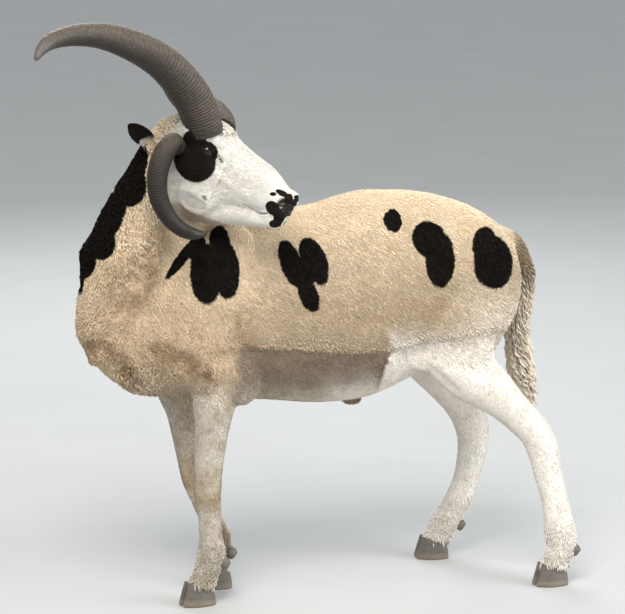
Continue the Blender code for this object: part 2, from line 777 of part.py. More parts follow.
def add_poll_tufts(head, work):
    """Clumps of wool at the feet of the horns and on the poll."""
    draw = random.Random(SEED + 1)
    tree = shape_tree(head)
    frame = head_frame()
    turn = frame.to_3x3()
    wool = bpy.data.collections.new("poll_wool")
    work.children.link(wool)
    for forward, left in POLL_TUFTS:
        hit, normal, _, _ = tree.ray_cast(
            frame @ Vector((forward, left, 0.30)), turn @ Vector((0, 0, -1))
        )
        lie = turn @ Vector((1 if forward > 0 else -1, left * 10, -0.2))
        make_clump(hit, normal, lie, (0.016, 0.012, 0.0085), draw, wool)
    return fuse(head, wool, "head")


def add_tail_wool(tail, work):
    """Locks down the back and sides of the hanging part of the tail."""
    draw = random.Random(SEED + 2)
    tree = shape_tree(tail)
    wool = bpy.data.collections.new("tail_wool")
    work.children.link(wool)
    for i, z in enumerate(np.arange(0.385, 0.550, 0.046)):
        for degrees in (-75, 0, 75):
            turn = math.radians(degrees + 30 * (i % 2))
            way = Vector((math.cos(turn), math.sin(turn), 0))
            hit, normal, _, _ = tree.ray_cast(Vector((0.407, 0.003, z)) + way * 0.1, -way)
            if hit is not None:
                make_lock(hit, normal, Vector((0, 0, -1)), (0.048, 0.0150, 0.0050), draw, wool)
    return thin_out(fuse(tail, wool, "tail"), 740, work)


def eye_axis(side):
    return Vector((0.26, 0.95 * side, 0.12)).normalized()


def make_head(eyes, inserts, work):
    """The head with lids, nostrils, lips and mouth line, and a socket for each insert."""
    frame = head_frame()
    head = thin_out(blend("head", head_volumes(work), HEAD_VOXEL, 5, work), 1400, work)
    for side in (-1, 1):
        forward, out, up = EYE_AT
        centre = Vector((forward, out * side, up))
        lid = EYE_RADIUS + LID_THICKNESS
        shell = ball("lid", centre, (lid, lid, lid), work, place=frame, segments=16)
        head = cut(head, shell, work, "UNION")
        half_long, half_tall = EYE_OPENING
        turn = eye_axis(side).to_track_quat("Y", "Z").to_matrix().to_4x4()
        slot_at = frame @ Matrix.Translation(centre + eye_axis(side) * EYE_RADIUS) @ turn
        slot = ball("slit", (0, 0, 0), (half_long, 0.012, half_tall), work, 12, slot_at, 12)
        head = cut(head, slot, work)
        nostril = (0.2175, 0.0195 * side, 0.0345)
        hole = ball("nostril", nostril, (0.0120, 0.0060, 0.0042), work, 40, frame, 10)
        head = cut(head, hole, work)
    for eye in eyes:
        head = cut(head, grown(eye, EYE_CLEARANCE, work), work)
    half = [(f, o, u) for f, o, u in MOUTH_LINE]
    line = [(f, -o, u) for f, o, u in half] + half[-2::-1]
    mouth = tube_along("mouth", curve_through(line, 3), 0.0020, frame, work, 6)
    head = cut(head, mouth, work)
    groove = ball("philtrum", (0.2330, 0, 0.0230), (0.0050, 0.0016, 0.0120), work, 25, frame, 8)
    head = cut(head, groove, work)
    head = add_poll_tufts(head, work)
    for insert in inserts:
        head = cut(head, grown(insert, 1.5 * GAP, work), work)
    return head


def make_ear(name, side, collection):
    """A cupped leaf: each section is a crescent whose back and inner face bulge to the rear."""
    frame = head_frame()
    rows = curve_through([(f, o * side, u, w) for f, o, u, w in EAR], 2)
    centres = rows[:, :3]
    tangents = np.gradient(centres, axis=0)
    tangents /= np.linalg.norm(tangents, axis=1)[:, None]
    facing = np.array((0.78, 0.45 * side, -0.30))
    rings = []
    for i, (centre, tangent, half) in enumerate(zip(centres, tangents, rows[:, 3])):
        share = i / (len(rows) - 1)
        face = facing - tangent * np.dot(facing, tangent)
        face /= np.linalg.norm(face)
        wide = np.cross(tangent, face)
        thick = EAR_THICKNESS + (half * 1.5 - EAR_THICKNESS) * max(0.0, 1 - share / 0.28)
        if share > 0.85:
            thick *= 0.75
        ring = []
        for u in (-1.0, -0.72, -0.38, 0.0, 0.38, 0.72, 1.0):
            ring.append(centre + wide * half * u - face * half * 0.62 * (1 - u * u))
        for u in (0.74, 0.38, 0.0, -0.38, -0.74):
            bulge = half * 0.62 * (1 - u * u) - thick * (1 - 0.45 * u * u)
            ring.append(centre + wide * half * u * 0.95 - face * bulge)
        rings.append([np.array(frame @ Vector(p)) for p in ring])
    return skin_rings(name, rings, collection)


def make_claw(name, hoof, side, collection):
    """One claw of a hoof: flat under, straight inside, its top following the hair line."""
    (x, y), toe_out = HOOVES[hoof]
    turn = math.radians(toe_out)
    ahead = np.array((-math.cos(turn), -math.sin(turn), 0.0))
    beside = np.array((math.sin(turn), -math.cos(turn), 0.0)) * side
    sections = (
        (0.0, 0.0320, 0.0265, 0.0225),
        (0.10, 0.0345, 0.0285, 0.0240),
        (0.50, 0.0290, 0.0275, 0.0235),
        (1.0, 0.0225, 0.0245, 0.0220),
    )
    rings = []
    for share, front, back, wide in sections:
        ring = []
        for px, py, _ in oval((0, 0, 0), (1, 0, 0), (0, 1, 0), 2.4, 14):
            forward = px * (front if px > 0 else back)
            taper = 1.0 - 0.42 * max(0.0, px) ** 2
            out = CLAW_GAP / 2 + wide * (1 + py) / 2 * taper
            top = CORONET + CORONET_RISE * forward - GAP
            point = np.array((x, y, 0.0)) + ahead * forward + beside * out
            point[2] = share * top
            ring.append(point)
        rings.append(ring)
    return skin_rings(name, rings, collection)


def trim_leg(leg, hoof, work):
    """Cuts a leg off along the hair line of its hoof."""
    (x, y), toe_out = HOOVES[hoof]
    turn = math.radians(toe_out)
    slope = CORONET_RISE
    down = Vector((-math.cos(turn) * slope, -math.sin(turn) * slope, -1.0))
    below = half_space("below", (x, y, CORONET), down, (0.16, 0.16, 0.10), work)
    return cut(leg, below, work)


def place_at_origin(nodes):
    """Moves all nodes so that the origin is under the middle of the bounding box."""
    for made in nodes:
        made.data.transform(Matrix.Translation(SHIFT))


def finish(made, name, material, collection):
    """Names a node, gives it its material and smooth faces, and moves it to the collection."""
    for old in list(made.users_collection):
        old.objects.unlink(made)
    collection.objects.link(made)
    made.name = name
    made.data.name = name
    made.data.materials.clear()
    made.data.materials.append(material)
    for polygon in made.data.polygons:
        polygon.use_smooth = True
    return made


def main():
    clear_scene()
    ram = bpy.data.collections.new("jacob_ram")
    work = bpy.data.collections.new("helpers")
    for collection in (ram, work):
        bpy.context.scene.collection.children.link(collection)
    work.hide_render = True
    frame = head_frame()

    # Horns, ears and eyes
    horns = {
        "horn_upper_left": horn("horn", HORN_UPPER_LEFT, RINGS_UPPER, frame, work),
        "horn_upper_right": horn("horn", HORN_UPPER_RIGHT, RINGS_UPPER, frame, work),
        "horn_lower_left": horn("horn", HORN_LOWER_LEFT, RINGS_LOWER, frame, work),
        "horn_lower_right": horn("horn", HORN_LOWER_RIGHT, RINGS_LOWER, frame, work),
    }
    ears, eyes = {}, {}
    for side, word in ((1, "left"), (-1, "right")):
        ears["ear_" + word] = make_ear("ear", side, work)
        at = frame @ Vector((EYE_AT[0], EYE_AT[1] * side, EYE_AT[2]))
        radii = (EYE_RADIUS, EYE_RADIUS, EYE_RADIUS)
        eyes["eye_" + word] = ball("eye", at, radii, work, segments=12)

    # Head, then the body and its nodes
    inserts = list(horns.values()) + list(ears.values())
    head = make_head(eyes.values(), inserts, work)
    way = (frame.to_3x3() @ Vector(HEAD_CUT[1])).normalized()
    at = frame @ Vector(HEAD_CUT[0])
    left = frame.to_3x3() @ Vector((0, 1, 0))
    box = (0.70, 0.36, 0.50)
    half = half_space("inner", at + way * GAP / 2, way, box, work, left)
    head = cut(head, half, work, "INTERSECT")
    behind = -Vector(NECK_CUT[1])
    low = Vector(NECK_CUT[0]) - Vector((0.700, 0, 0.714)) * 0.20 - behind * GAP
    head = cut(head, half_space("withers", low, behind, (0.41, 0.5, 0.5), work), work)
    keep_largest(head)

    body = thin_out(blend("body", body_volumes(work), BODY_VOXEL, 5, work), 3000, work)
    body = add_neck_wool(body, work)
    legs = {}
    cuts = {
        "foreleg_left": ((-0.212, -0.085, 0.345), (0, 0, -1), (0.28, 0.16, 0.40)),
        "foreleg_right": ((-0.212, 0.085, 0.345), (0, 0, -1), (0.28, 0.16, 0.40)),
        "hindleg_left": ((0.295, -0.120, 0.372), (0.60, 0, -0.80), (0.60, 0.12, 0.60)),
        "hindleg_right": ((0.290, 0.120, 0.372), (0.40, 0, -0.92), (0.60, 0.12, 0.60)),
    }
    for name, (point, normal, size) in cuts.items():
        legs[name], body = split(body, name, point, normal, size, work)
    neck, torso = split(body, "neck", NECK_CUT[0], NECK_CUT[1], (0.8, 0.8, 0.8), work)
    above = half_space("above", at - way * GAP / 2, way, box, work, left)
    neck = cut(neck, above, work)
    neck = cut(neck, grown(horns["horn_lower_left"], GAP, work), work)
    keep_largest(neck)
    tail = limb("tail", TAIL, work, steps=2, sides=12)
    tail = add_tail_wool(tail, work)
    scrotum = limb("scrotum", SCROTUM, work, steps=2, sides=10)
    for insert in (tail, scrotum):
        torso = cut(torso, grown(insert, GAP, work), work)
    keep_largest(torso)

    # Hooves and dewclaws
    feet = {}
    for hoof in HOOVES:
        leg = hoof.split("_")[0] + "leg_" + hoof.split("_")[1]
        legs[leg] = trim_leg(legs[leg], hoof, work)
        keep_largest(legs[leg])
        for side, word in ((1, "a"), (-1, "b")):
            feet[f"hoof_{hoof}_{word}"] = make_claw("f", hoof, side, work)
            x, y, z = DEWCLAWS[hoof]
            dew = ball("g", (x, y + 0.0115 * side, z), DEWCLAW_RADII, work, 20, segments=8)
            feet[f"dewclaw_{hoof}_{word}"] = dew
            legs[leg] = cut(legs[leg], grown(dew, GAP, work), work)

    colours = {
        "cream": make_material("wool_cream", (0.76, 0.66, 0.50), 0.9),
        "white": make_material("hair_white", (0.80, 0.76, 0.70), 0.85),
        "horn": make_material("horn_grey", (0.13, 0.12, 0.10), 0.5),
        "black": make_material("hair_black", (0.02, 0.018, 0.016), 0.85),
        "hoof": make_material("hoof_grey", (0.08, 0.075, 0.07), 0.5),
        "eye": make_material("eye_dark", (0.05, 0.03, 0.015), 0.1),
        "skin": make_material("skin_pink", (0.62, 0.47, 0.38), 0.7),
    }
    for name, made, colour in (
        ("torso", torso, "cream"),
        ("neck", neck, "cream"),
        ("head", head, "white"),
        ("tail", tail, "cream"),
        ("scrotum", scrotum, "skin"),
    ):
        finish(made, name, colours[colour], ram)
    for group, colour in ((legs, "white"), (horns, "horn"), (ears, "black"), (eyes, "eye")):
        for name, made in group.items():
            finish(made, name, colours[colour], ram)
    for name, made in feet.items():
        finish(made, name, colours["hoof"], ram)
    place_at_origin(ram.objects)


main()
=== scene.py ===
# %% [markdown]
# A life-size Jacob ram stands still and looks back over its left shoulder. Its solids come packed
# as a fixed frame: metres, +Z up, the nose of the body towards -X and the ram's left side towards
# -Y. This lesson dresses that frame: one skin over the flesh, a coat of small solid tufts, and
# finer horns, eyes and hooves, each lying where its solid is.

# %% Load the frame
import bpy
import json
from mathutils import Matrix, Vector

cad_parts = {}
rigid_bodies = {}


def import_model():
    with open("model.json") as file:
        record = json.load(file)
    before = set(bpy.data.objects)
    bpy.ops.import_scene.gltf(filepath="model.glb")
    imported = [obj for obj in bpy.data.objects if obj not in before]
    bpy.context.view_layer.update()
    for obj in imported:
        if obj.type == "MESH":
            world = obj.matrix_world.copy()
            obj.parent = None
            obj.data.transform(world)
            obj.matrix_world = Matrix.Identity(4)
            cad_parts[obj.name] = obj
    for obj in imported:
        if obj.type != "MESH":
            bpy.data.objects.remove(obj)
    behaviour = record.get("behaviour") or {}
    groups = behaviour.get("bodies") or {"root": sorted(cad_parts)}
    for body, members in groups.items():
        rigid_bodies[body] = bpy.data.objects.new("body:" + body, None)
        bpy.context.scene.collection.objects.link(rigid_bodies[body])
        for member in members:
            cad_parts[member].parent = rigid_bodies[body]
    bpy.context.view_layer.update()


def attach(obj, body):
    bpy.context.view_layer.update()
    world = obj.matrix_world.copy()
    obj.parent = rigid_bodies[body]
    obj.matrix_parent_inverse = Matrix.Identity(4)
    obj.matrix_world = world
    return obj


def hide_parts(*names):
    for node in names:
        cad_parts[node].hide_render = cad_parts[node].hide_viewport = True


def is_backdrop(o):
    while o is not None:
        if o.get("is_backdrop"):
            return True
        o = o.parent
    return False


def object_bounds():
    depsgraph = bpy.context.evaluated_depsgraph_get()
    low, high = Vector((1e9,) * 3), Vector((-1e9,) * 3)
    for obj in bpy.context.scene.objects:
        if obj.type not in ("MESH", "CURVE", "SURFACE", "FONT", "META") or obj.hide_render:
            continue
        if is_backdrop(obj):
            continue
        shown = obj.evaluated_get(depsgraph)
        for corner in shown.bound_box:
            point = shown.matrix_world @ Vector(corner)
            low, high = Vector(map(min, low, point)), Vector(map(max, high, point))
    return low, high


for startup in list(bpy.data.objects):
    bpy.data.objects.remove(startup)
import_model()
import json
import math

import bmesh
import numpy as np
from mathutils import Matrix, Vector

# %% [markdown]
# The camera comes first, because every later choice is judged through it. It stands about 5.6 m
# off with a long lens, a little ahead of the ram and slightly above its back, as the photograph
# was taken. Studio light is kept soft and wide, so that form and not shadow shows the coat.

# %% Camera, floor and light
scene = bpy.context.scene
camera_data = bpy.data.cameras.new("camera")
camera_data.sensor_width = 36.0
camera_data.lens = 177.41
camera = bpy.data.objects.new("camera", camera_data)
camera.location = (-1.6571, -5.2462, 1.4954)
camera.rotation_euler = (math.radians(80), 0.0, math.radians(-18))
scene.collection.objects.link(camera)
scene.camera = camera


def add_area_light(name, location, target, size, watts, colour):
    """A square soft light that faces a point."""
    data = bpy.data.lights.new(name, "AREA")
    data.size = size
    data.energy = watts
    data.color = colour
    lamp = bpy.data.objects.new(name, data)
    lamp.location = location
    lamp.rotation_euler = (Vector(target) - Vector(location)).to_track_quat("-Z", "Y").to_euler()
    scene.collection.objects.link(lamp)


add_area_light("key_light", (-1.6, -3.4, 4.6), (0, 0, 0.5), 2.6, 262, (1.0, 0.97, 0.93))
add_area_light("fill_light", (3.2, -2.6, 2.0), (0, 0, 0.5), 3.0, 135, (0.92, 0.96, 1.0))
add_area_light("back_light", (0.6, 3.4, 2.8), (0, 0, 0.6), 2.4, 70, (0.95, 0.98, 1.0))
scene.view_settings.view_transform = "Standard"  # so that white hair stays white and black stays black
world = bpy.data.worlds.new("studio")
scene.world = world
world.use_nodes = True
world.node_tree.nodes["Background"].inputs["Color"].default_value = (0.92, 0.96, 1.0, 1.0)
world.node_tree.nodes["Background"].inputs["Strength"].default_value = 0.62
print("camera, three soft lights and a pale sky")

# %% Helpers for shader nodes


def feed(tree, socket, value):
    """Links a socket into the input, or sets a plain value there."""
    if isinstance(value, bpy.types.NodeSocket):
        tree.links.new(value, socket)
    else:
        socket.default_value = value


def tree_node(tree, kind, settings=None, links=None):
    """Adds a node; settings are its properties, and links maps an input's name to a value or a socket."""
    made = tree.nodes.new(kind)
    for key, value in (settings or {}).items():
        setattr(made, key, value)
    for key, value in (links or {}).items():
        feed(tree, made.inputs[key], value)
    return made


def node(tree, kind, settings=None, **sockets):
    return tree_node(tree, kind, settings, sockets)


def mathematics(tree, operation, first, second=0.0, third=0.0):
    made = tree.nodes.new("ShaderNodeMath")
    made.operation = operation
    for socket, value in zip(made.inputs, (first, second, third)):
        feed(tree, socket, value)
    return made.outputs[0]


def times(tree, first, second):
    return mathematics(tree, "MULTIPLY", first, second)


def mixed(tree, factor, first, second, blend="MIX"):
    """Mixes two colours, each a socket or a tuple of three numbers."""
    made = tree.nodes.new("ShaderNodeMix")
    made.data_type = "RGBA"
    made.blend_type = blend
    made.clamp_factor = True
    for socket, value in zip((made.inputs[0], made.inputs[6], made.inputs[7]), (factor, first, second)):
        feed(tree, socket, (*value, 1.0) if isinstance(value, tuple) else value)
    return made.outputs[2]


def noise(tree, vector, scale, detail=3.0, roughness=0.55, distortion=0.0):
    made = node(
        tree, "ShaderNodeTexNoise", None, Vector=vector, Scale=scale, Detail=detail,
        Roughness=roughness, Distortion=distortion,
    )
    return made.outputs[0]


def between(tree, value, low, high, to_low=0.0, to_high=1.0):
    """A smooth step from to_low to to_high as value goes from low to high."""
    made = tree.nodes.new("ShaderNodeMapRange")
    made.interpolation_type = "SMOOTHSTEP"
    for socket, number in zip(made.inputs, (value, low, high, to_low, to_high)):
        feed(tree, socket, number)
    return made.outputs[0]


def vector_math(tree, operation, *values):
    made = tree.nodes.new("ShaderNodeVectorMath")
    made.operation = operation
    for socket, value in zip(made.inputs, values):
        feed(tree, socket, value)
    return made


def joined(tree, *parts):
    """A vector from up to three numbers."""
    made = tree.nodes.new("ShaderNodeCombineXYZ")
    for socket, value in zip(made.inputs, parts):
        feed(tree, socket, value)
    return made.outputs[0]


def split(tree, vector):
    """The x, y and z of a vector."""
    made = tree.nodes.new("ShaderNodeSeparateXYZ")
    tree.links.new(vector, made.inputs[0])
    return made.outputs


def attribute(tree, name, output="Fac"):
    made = tree.nodes.new("ShaderNodeAttribute")
    made.attribute_name = name
    return made.outputs[output]


def new_material(name, roughness):
    """An empty Principled material: returns the material, its tree, its shader and its place."""
    material = bpy.data.materials.new(name)
    material.use_nodes = True
    tree = material.node_tree
    shader = tree.nodes["Principled BSDF"]
    shader.inputs["Roughness"].default_value = roughness
    place = tree.nodes.new("ShaderNodeTexCoord").outputs["Object"]
    return material, tree, shader, place


def add_bump(tree, shader, height, distance, strength=1.0):
    bump = node(tree, "ShaderNodeBump", None, Height=height, Distance=distance, Strength=strength)
    tree.links.new(bump.outputs[0], shader.inputs["Normal"])


# %% Floor
FLOOR_HALF = 60.0  # metres, so that its edge lies at the horizon
floor_mesh = bpy.data.meshes.new("floor")
corners = [(x * FLOOR_HALF, y * FLOOR_HALF, 0) for x, y in ((-1, -1), (1, -1), (1, 1), (-1, 1))]
floor_mesh.from_pydata(corners, [], [(0, 1, 2, 3)])
floor = bpy.data.objects.new("floor", floor_mesh)
scene.collection.objects.link(floor)
floor_finish, tree, shader, place = new_material("floor_pale", 0.9)
grain = noise(tree, place, 3.0)
tree.links.new(mixed(tree, grain, (0.50, 0.50, 0.49), (0.56, 0.56, 0.55)), shader.inputs["Base Color"])
floor_mesh.materials.append(floor_finish)
floor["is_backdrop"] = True
print("floor laid")

# %% [markdown]
# The flesh starts from the same measured forms as the solids: stations along the trunk, centres
# and half widths down each leg, and a frame of its own for the head. A loft runs through each,
# balls swell the muscles, and a voxel remesh melts all of them into one closed skin. One skin has
# no seam at the neck or legs, which separate pieces would show.

# %% The forms that the solids were made from
SHIFT = (0.0471, -0.0012, 0.0)
# Trunk, station by station from the chest to the rump: x, top, bottom, half width, squareness
TRUNK = (
    (-0.435, 0.590, 0.470, 0.042, 2.0),
    (-0.400, 0.640, 0.428, 0.078, 2.1),
    (-0.345, 0.676, 0.390, 0.105, 2.2),
    (-0.270, 0.700, 0.368, 0.122, 2.3),
    (-0.190, 0.706, 0.364, 0.131, 2.3),
    (-0.090, 0.706, 0.354, 0.143, 2.2),
    (0.000, 0.715, 0.346, 0.154, 2.2),
    (0.090, 0.736, 0.352, 0.155, 2.2),
    (0.180, 0.734, 0.388, 0.145, 2.2),
    (0.250, 0.721, 0.428, 0.130, 2.2),
    (0.310, 0.698, 0.460, 0.110, 2.1),
    (0.355, 0.668, 0.500, 0.082, 2.0),
    (0.385, 0.638, 0.545, 0.050, 2.0),
)

# Neck, from inside the chest up to the skull: centre, then half depth fore and aft, half width
NECK = (
    ((-0.260, 0.000, 0.545), 0.165, 0.105),
    ((-0.295, -0.002, 0.605), 0.147, 0.100),
    ((-0.300, -0.012, 0.665), 0.122, 0.086),
    ((-0.298, -0.030, 0.720), 0.096, 0.073),
    ((-0.288, -0.048, 0.768), 0.079, 0.064),
    ((-0.277, -0.062, 0.812), 0.068, 0.058),
    ((-0.265, -0.072, 0.848), 0.056, 0.050),
)

# The head's own frame: origin at the skull's joint with the neck, forward along the face
HEAD_AT = Vector((-0.2708, -0.0700, 0.8113))
HEAD_AZIMUTH = math.radians(-40)
HEAD_PITCH = math.radians(-24)
HEAD_ROLL = math.radians(8)

# Skull and upper jaw: forward, top, bottom, half width, squareness
SKULL = (
    (-0.030, 0.060, -0.015, 0.036, 2.0),
    (-0.008, 0.082, -0.035, 0.050, 2.1),
    (0.025, 0.094, -0.045, 0.058, 2.2),
    (0.060, 0.091, -0.050, 0.060, 2.3),
    (0.098, 0.079, -0.045, 0.051, 2.3),
    (0.130, 0.073, -0.032, 0.042, 2.3),
    (0.165, 0.067, -0.020, 0.035, 2.3),
    (0.195, 0.054, -0.010, 0.032, 2.4),
    (0.216, 0.042, -0.002, 0.029, 2.5),
    (0.229, 0.032, 0.006, 0.021, 2.4),
)
# Lower jaw: forward, top, bottom, half width, squareness
JAW = (
    (0.030, 0.010, -0.060, 0.038, 2.0),
    (0.060, 0.010, -0.076, 0.041, 2.2),
    (0.095, 0.005, -0.078, 0.037, 2.2),
    (0.130, -0.008, -0.062, 0.030, 2.2),
    (0.165, -0.008, -0.047, 0.025, 2.2),
    (0.195, -0.006, -0.034, 0.023, 2.3),
    (0.215, -0.002, -0.027, 0.021, 2.3),
    (0.225, 0.002, -0.016, 0.014, 2.2),
)
EYE_AT = (0.057, 0.043, 0.045)  # forward, out, up

# The mouth line on one side, from its corner to the middle of the lips: forward, out, up
MOUTH_LINE = (
    (0.154, 0.0281, -0.0103),
    (0.163, 0.0251, -0.0104),
    (0.173, 0.0216, -0.0116),
    (0.183, 0.0216, -0.0113),
    (0.194, 0.0238, -0.0068),
    (0.206, 0.0282, 0.0002),
    (0.222, 0.0180, 0.0040),
    (0.2285, 0.0000, 0.0060),
)

# Horns in the head's frame, from inside the skull to the tip: forward, left, up, radius
HORN_UPPER_RIGHT = (
    (0.036, -0.036, 0.070, 0.0315),
    (0.027, -0.044, 0.086, 0.0335),
    (0.003, -0.063, 0.115, 0.0340),
    (-0.022, -0.086, 0.136, 0.0330),
    (-0.051, -0.117, 0.154, 0.0310),
    (-0.078, -0.148, 0.163, 0.0290),
    (-0.103, -0.180, 0.166, 0.0265),
    (-0.128, -0.213, 0.165, 0.0237),
    (-0.150, -0.246, 0.158, 0.0205),
    (-0.169, -0.279, 0.145, 0.0175),
    (-0.182, -0.309, 0.128, 0.0140),
    (-0.184, -0.330, 0.111, 0.0100),
    (-0.178, -0.351, 0.091, 0.0030),
)
HORN_UPPER_LEFT = (
    (0.035, 0.033, 0.073, 0.0290),
    (0.023, 0.048, 0.080, 0.0312),
    (0.000, 0.074, 0.084, 0.0315),
    (-0.030, 0.105, 0.083, 0.0305),
    (-0.062, 0.137, 0.081, 0.0290),
    (-0.094, 0.167, 0.079, 0.0260),
    (-0.126, 0.198, 0.079, 0.0220),
    (-0.156, 0.229, 0.082, 0.0175),
    (-0.184, 0.259, 0.087, 0.0110),
    (-0.204, 0.285, 0.093, 0.0030),
)
HORN_LOWER_RIGHT = (
    (0.012, -0.044, 0.026, 0.0145),
    (0.003, -0.062, 0.034, 0.0170),
    (0.002, -0.080, 0.025, 0.0182),
    (0.004, -0.091, 0.000, 0.0185),
    (0.013, -0.095, -0.030, 0.0180),
    (0.030, -0.094, -0.058, 0.0168),
    (0.056, -0.088, -0.080, 0.0152),
    (0.084, -0.078, -0.091, 0.0133),
    (0.107, -0.066, -0.090, 0.0105),
    (0.124, -0.054, -0.082, 0.0030),
)
HORN_LOWER_LEFT = (
    (0.012, 0.044, 0.026, 0.0145),
    (0.006, 0.062, 0.034, 0.0170),
    (0.010, 0.080, 0.026, 0.0180),
    (0.020, 0.090, 0.005, 0.0180),
    (0.038, 0.094, -0.018, 0.0172),
    (0.061, 0.093, -0.035, 0.0160),
    (0.085, 0.086, -0.044, 0.0142),
    (0.106, 0.077, -0.044, 0.0110),
    (0.122, 0.068, -0.039, 0.0030),
)

# An ear's spine in the head's frame: forward, out, up, half width
EAR = (
    (-0.020, 0.034, 0.004, 0.0090),
    (-0.030, 0.050, 0.009, 0.0105),
    (-0.039, 0.066, 0.015, 0.0140),
    (-0.047, 0.084, 0.021, 0.0170),
    (-0.054, 0.101, 0.027, 0.0155),
    (-0.060, 0.115, 0.032, 0.0105),
    (-0.064, 0.125, 0.035, 0.0035),
)

# Legs: each point is a centre, its half depth fore and aft and its half width
FORELEGS = {
    "left": (
        ((-0.215, -0.085, 0.445), 0.060, 0.042),
        ((-0.211, -0.081, 0.375), 0.0410, 0.0350),
        ((-0.214, -0.078, 0.325), 0.0315, 0.0290),
        ((-0.217, -0.074, 0.279), 0.0275, 0.0255),
        ((-0.220, -0.071, 0.235), 0.0260, 0.0260),
        ((-0.221, -0.070, 0.204), 0.0255, 0.0265),
        ((-0.216, -0.067, 0.165), 0.0222, 0.0215),
        ((-0.214, -0.065, 0.125), 0.0225, 0.0205),
        ((-0.213, -0.062, 0.091), 0.0268, 0.0245),
        ((-0.222, -0.059, 0.060), 0.0245, 0.0235),
        ((-0.231, -0.057, 0.036), 0.0260, 0.0265),
    ),
    "right": (
        ((-0.240, 0.085, 0.445), 0.060, 0.042),
        ((-0.231, 0.083, 0.385), 0.0480, 0.0370),
        ((-0.219, 0.080, 0.339), 0.0400, 0.0330),
        ((-0.214, 0.078, 0.293), 0.0330, 0.0280),
        ((-0.209, 0.074, 0.244), 0.0285, 0.0265),
        ((-0.202, 0.070, 0.201), 0.0265, 0.0265),
        ((-0.188, 0.066, 0.158), 0.0225, 0.0215),
        ((-0.176, 0.060, 0.124), 0.0222, 0.0205),
        ((-0.164, 0.055, 0.088), 0.0262, 0.0245),
        ((-0.163, 0.051, 0.060), 0.0245, 0.0235),
        ((-0.167, 0.049, 0.036), 0.0260, 0.0265),
    ),
}
HINDLEGS = {
    "left": (
        ((0.270, -0.080, 0.545), 0.105, 0.058),
        ((0.245, -0.098, 0.475), 0.088, 0.050),
        ((0.268, -0.108, 0.410), 0.060, 0.043),
        ((0.325, -0.115, 0.355), 0.0380, 0.0340),
        ((0.362, -0.118, 0.318), 0.0320, 0.0270),
        ((0.391, -0.120, 0.286), 0.0305, 0.0255),
        ((0.407, -0.122, 0.249), 0.0300, 0.0240),
        ((0.414, -0.123, 0.215), 0.0275, 0.0215),
        ((0.429, -0.124, 0.159), 0.0262, 0.0205),
        ((0.440, -0.125, 0.100), 0.0300, 0.0245),
        ((0.443, -0.125, 0.070), 0.0285, 0.0245),
        ((0.433, -0.125, 0.045), 0.0260, 0.0250),
        ((0.428, -0.125, 0.034), 0.0260, 0.0260),
    ),
    "right": (
        ((0.270, 0.080, 0.545), 0.105, 0.058),
        ((0.255, 0.098, 0.475), 0.086, 0.050),
        ((0.265, 0.108, 0.410), 0.062, 0.043),
        ((0.308, 0.114, 0.345), 0.0450, 0.0340),
        ((0.338, 0.116, 0.300), 0.0370, 0.0280),
        ((0.357, 0.119, 0.258), 0.0345, 0.0255),
        ((0.361, 0.122, 0.215), 0.0305, 0.0235),
        ((0.350, 0.124, 0.155), 0.0262, 0.0205),
        ((0.333, 0.126, 0.108), 0.0275, 0.0235),
        ((0.313, 0.128, 0.074), 0.0265, 0.0240),
        ((0.296, 0.129, 0.046), 0.0250, 0.0245),
        ((0.289, 0.129, 0.034), 0.0255, 0.0255),
    ),
}
# Hooves: centre on the floor, direction of the toes from straight ahead in degrees
HOOVES = {
    "fore_left": ((-0.236, -0.057), 12),
    "fore_right": ((-0.172, 0.049), -4),
    "hind_left": ((0.423, -0.125), 6),
    "hind_right": ((0.283, 0.129), -6),
}
CORONET = 0.037  # height of the hair line over the middle of a hoof
CORONET_RISE = 0.30  # its rise towards the toe
CLAW_GAP = 0.0030

TAIL = (
    ((0.352, 0.000, 0.640), 0.026, 0.030),
    ((0.388, 0.000, 0.620), 0.026, 0.030),
    ((0.410, 0.000, 0.583), 0.022, 0.028),
    ((0.414, 0.001, 0.540), 0.020, 0.027),
    ((0.409, 0.002, 0.500), 0.021, 0.027),
    ((0.403, 0.003, 0.452), 0.0250, 0.030),
    ((0.408, 0.004, 0.400), 0.0245, 0.029),
    ((0.420, 0.005, 0.358), 0.0180, 0.022),
    ((0.431, 0.006, 0.328), 0.0100, 0.013),
)
SCROTUM = (
    ((0.262, 0.004, 0.475), 0.026, 0.024),
    ((0.266, 0.005, 0.440), 0.026, 0.026),
    ((0.272, 0.006, 0.405), 0.036, 0.041),
    ((0.276, 0.007, 0.378), 0.036, 0.042),
    ((0.278, 0.007, 0.358), 0.025, 0.030),
)

# Muscles and bony points that the blend swells: centre, radii, turn about Y in degrees
MUSCLES = (
    ((-0.205, 0.082, 0.545), (0.078, 0.052, 0.165), 12),  # shoulder
    ((-0.175, 0.088, 0.440), (0.058, 0.042, 0.075), -20),  # upper arm
    ((-0.340, 0.052, 0.500), (0.085, 0.070, 0.095), 0),  # point of the shoulder
    ((0.275, 0.078, 0.570), (0.105, 0.056, 0.125), -10),  # thigh
    ((0.305, 0.072, 0.520), (0.058, 0.048, 0.110), 8),  # hamstring
    ((0.195, 0.098, 0.640), (0.060, 0.036, 0.046), 10),  # hip bone
    ((0.350, 0.045, 0.600), (0.036, 0.030, 0.040), 0),  # pin bone
    ((0.150, 0.105, 0.455), (0.075, 0.020, 0.030), 30),  # flank fold
)
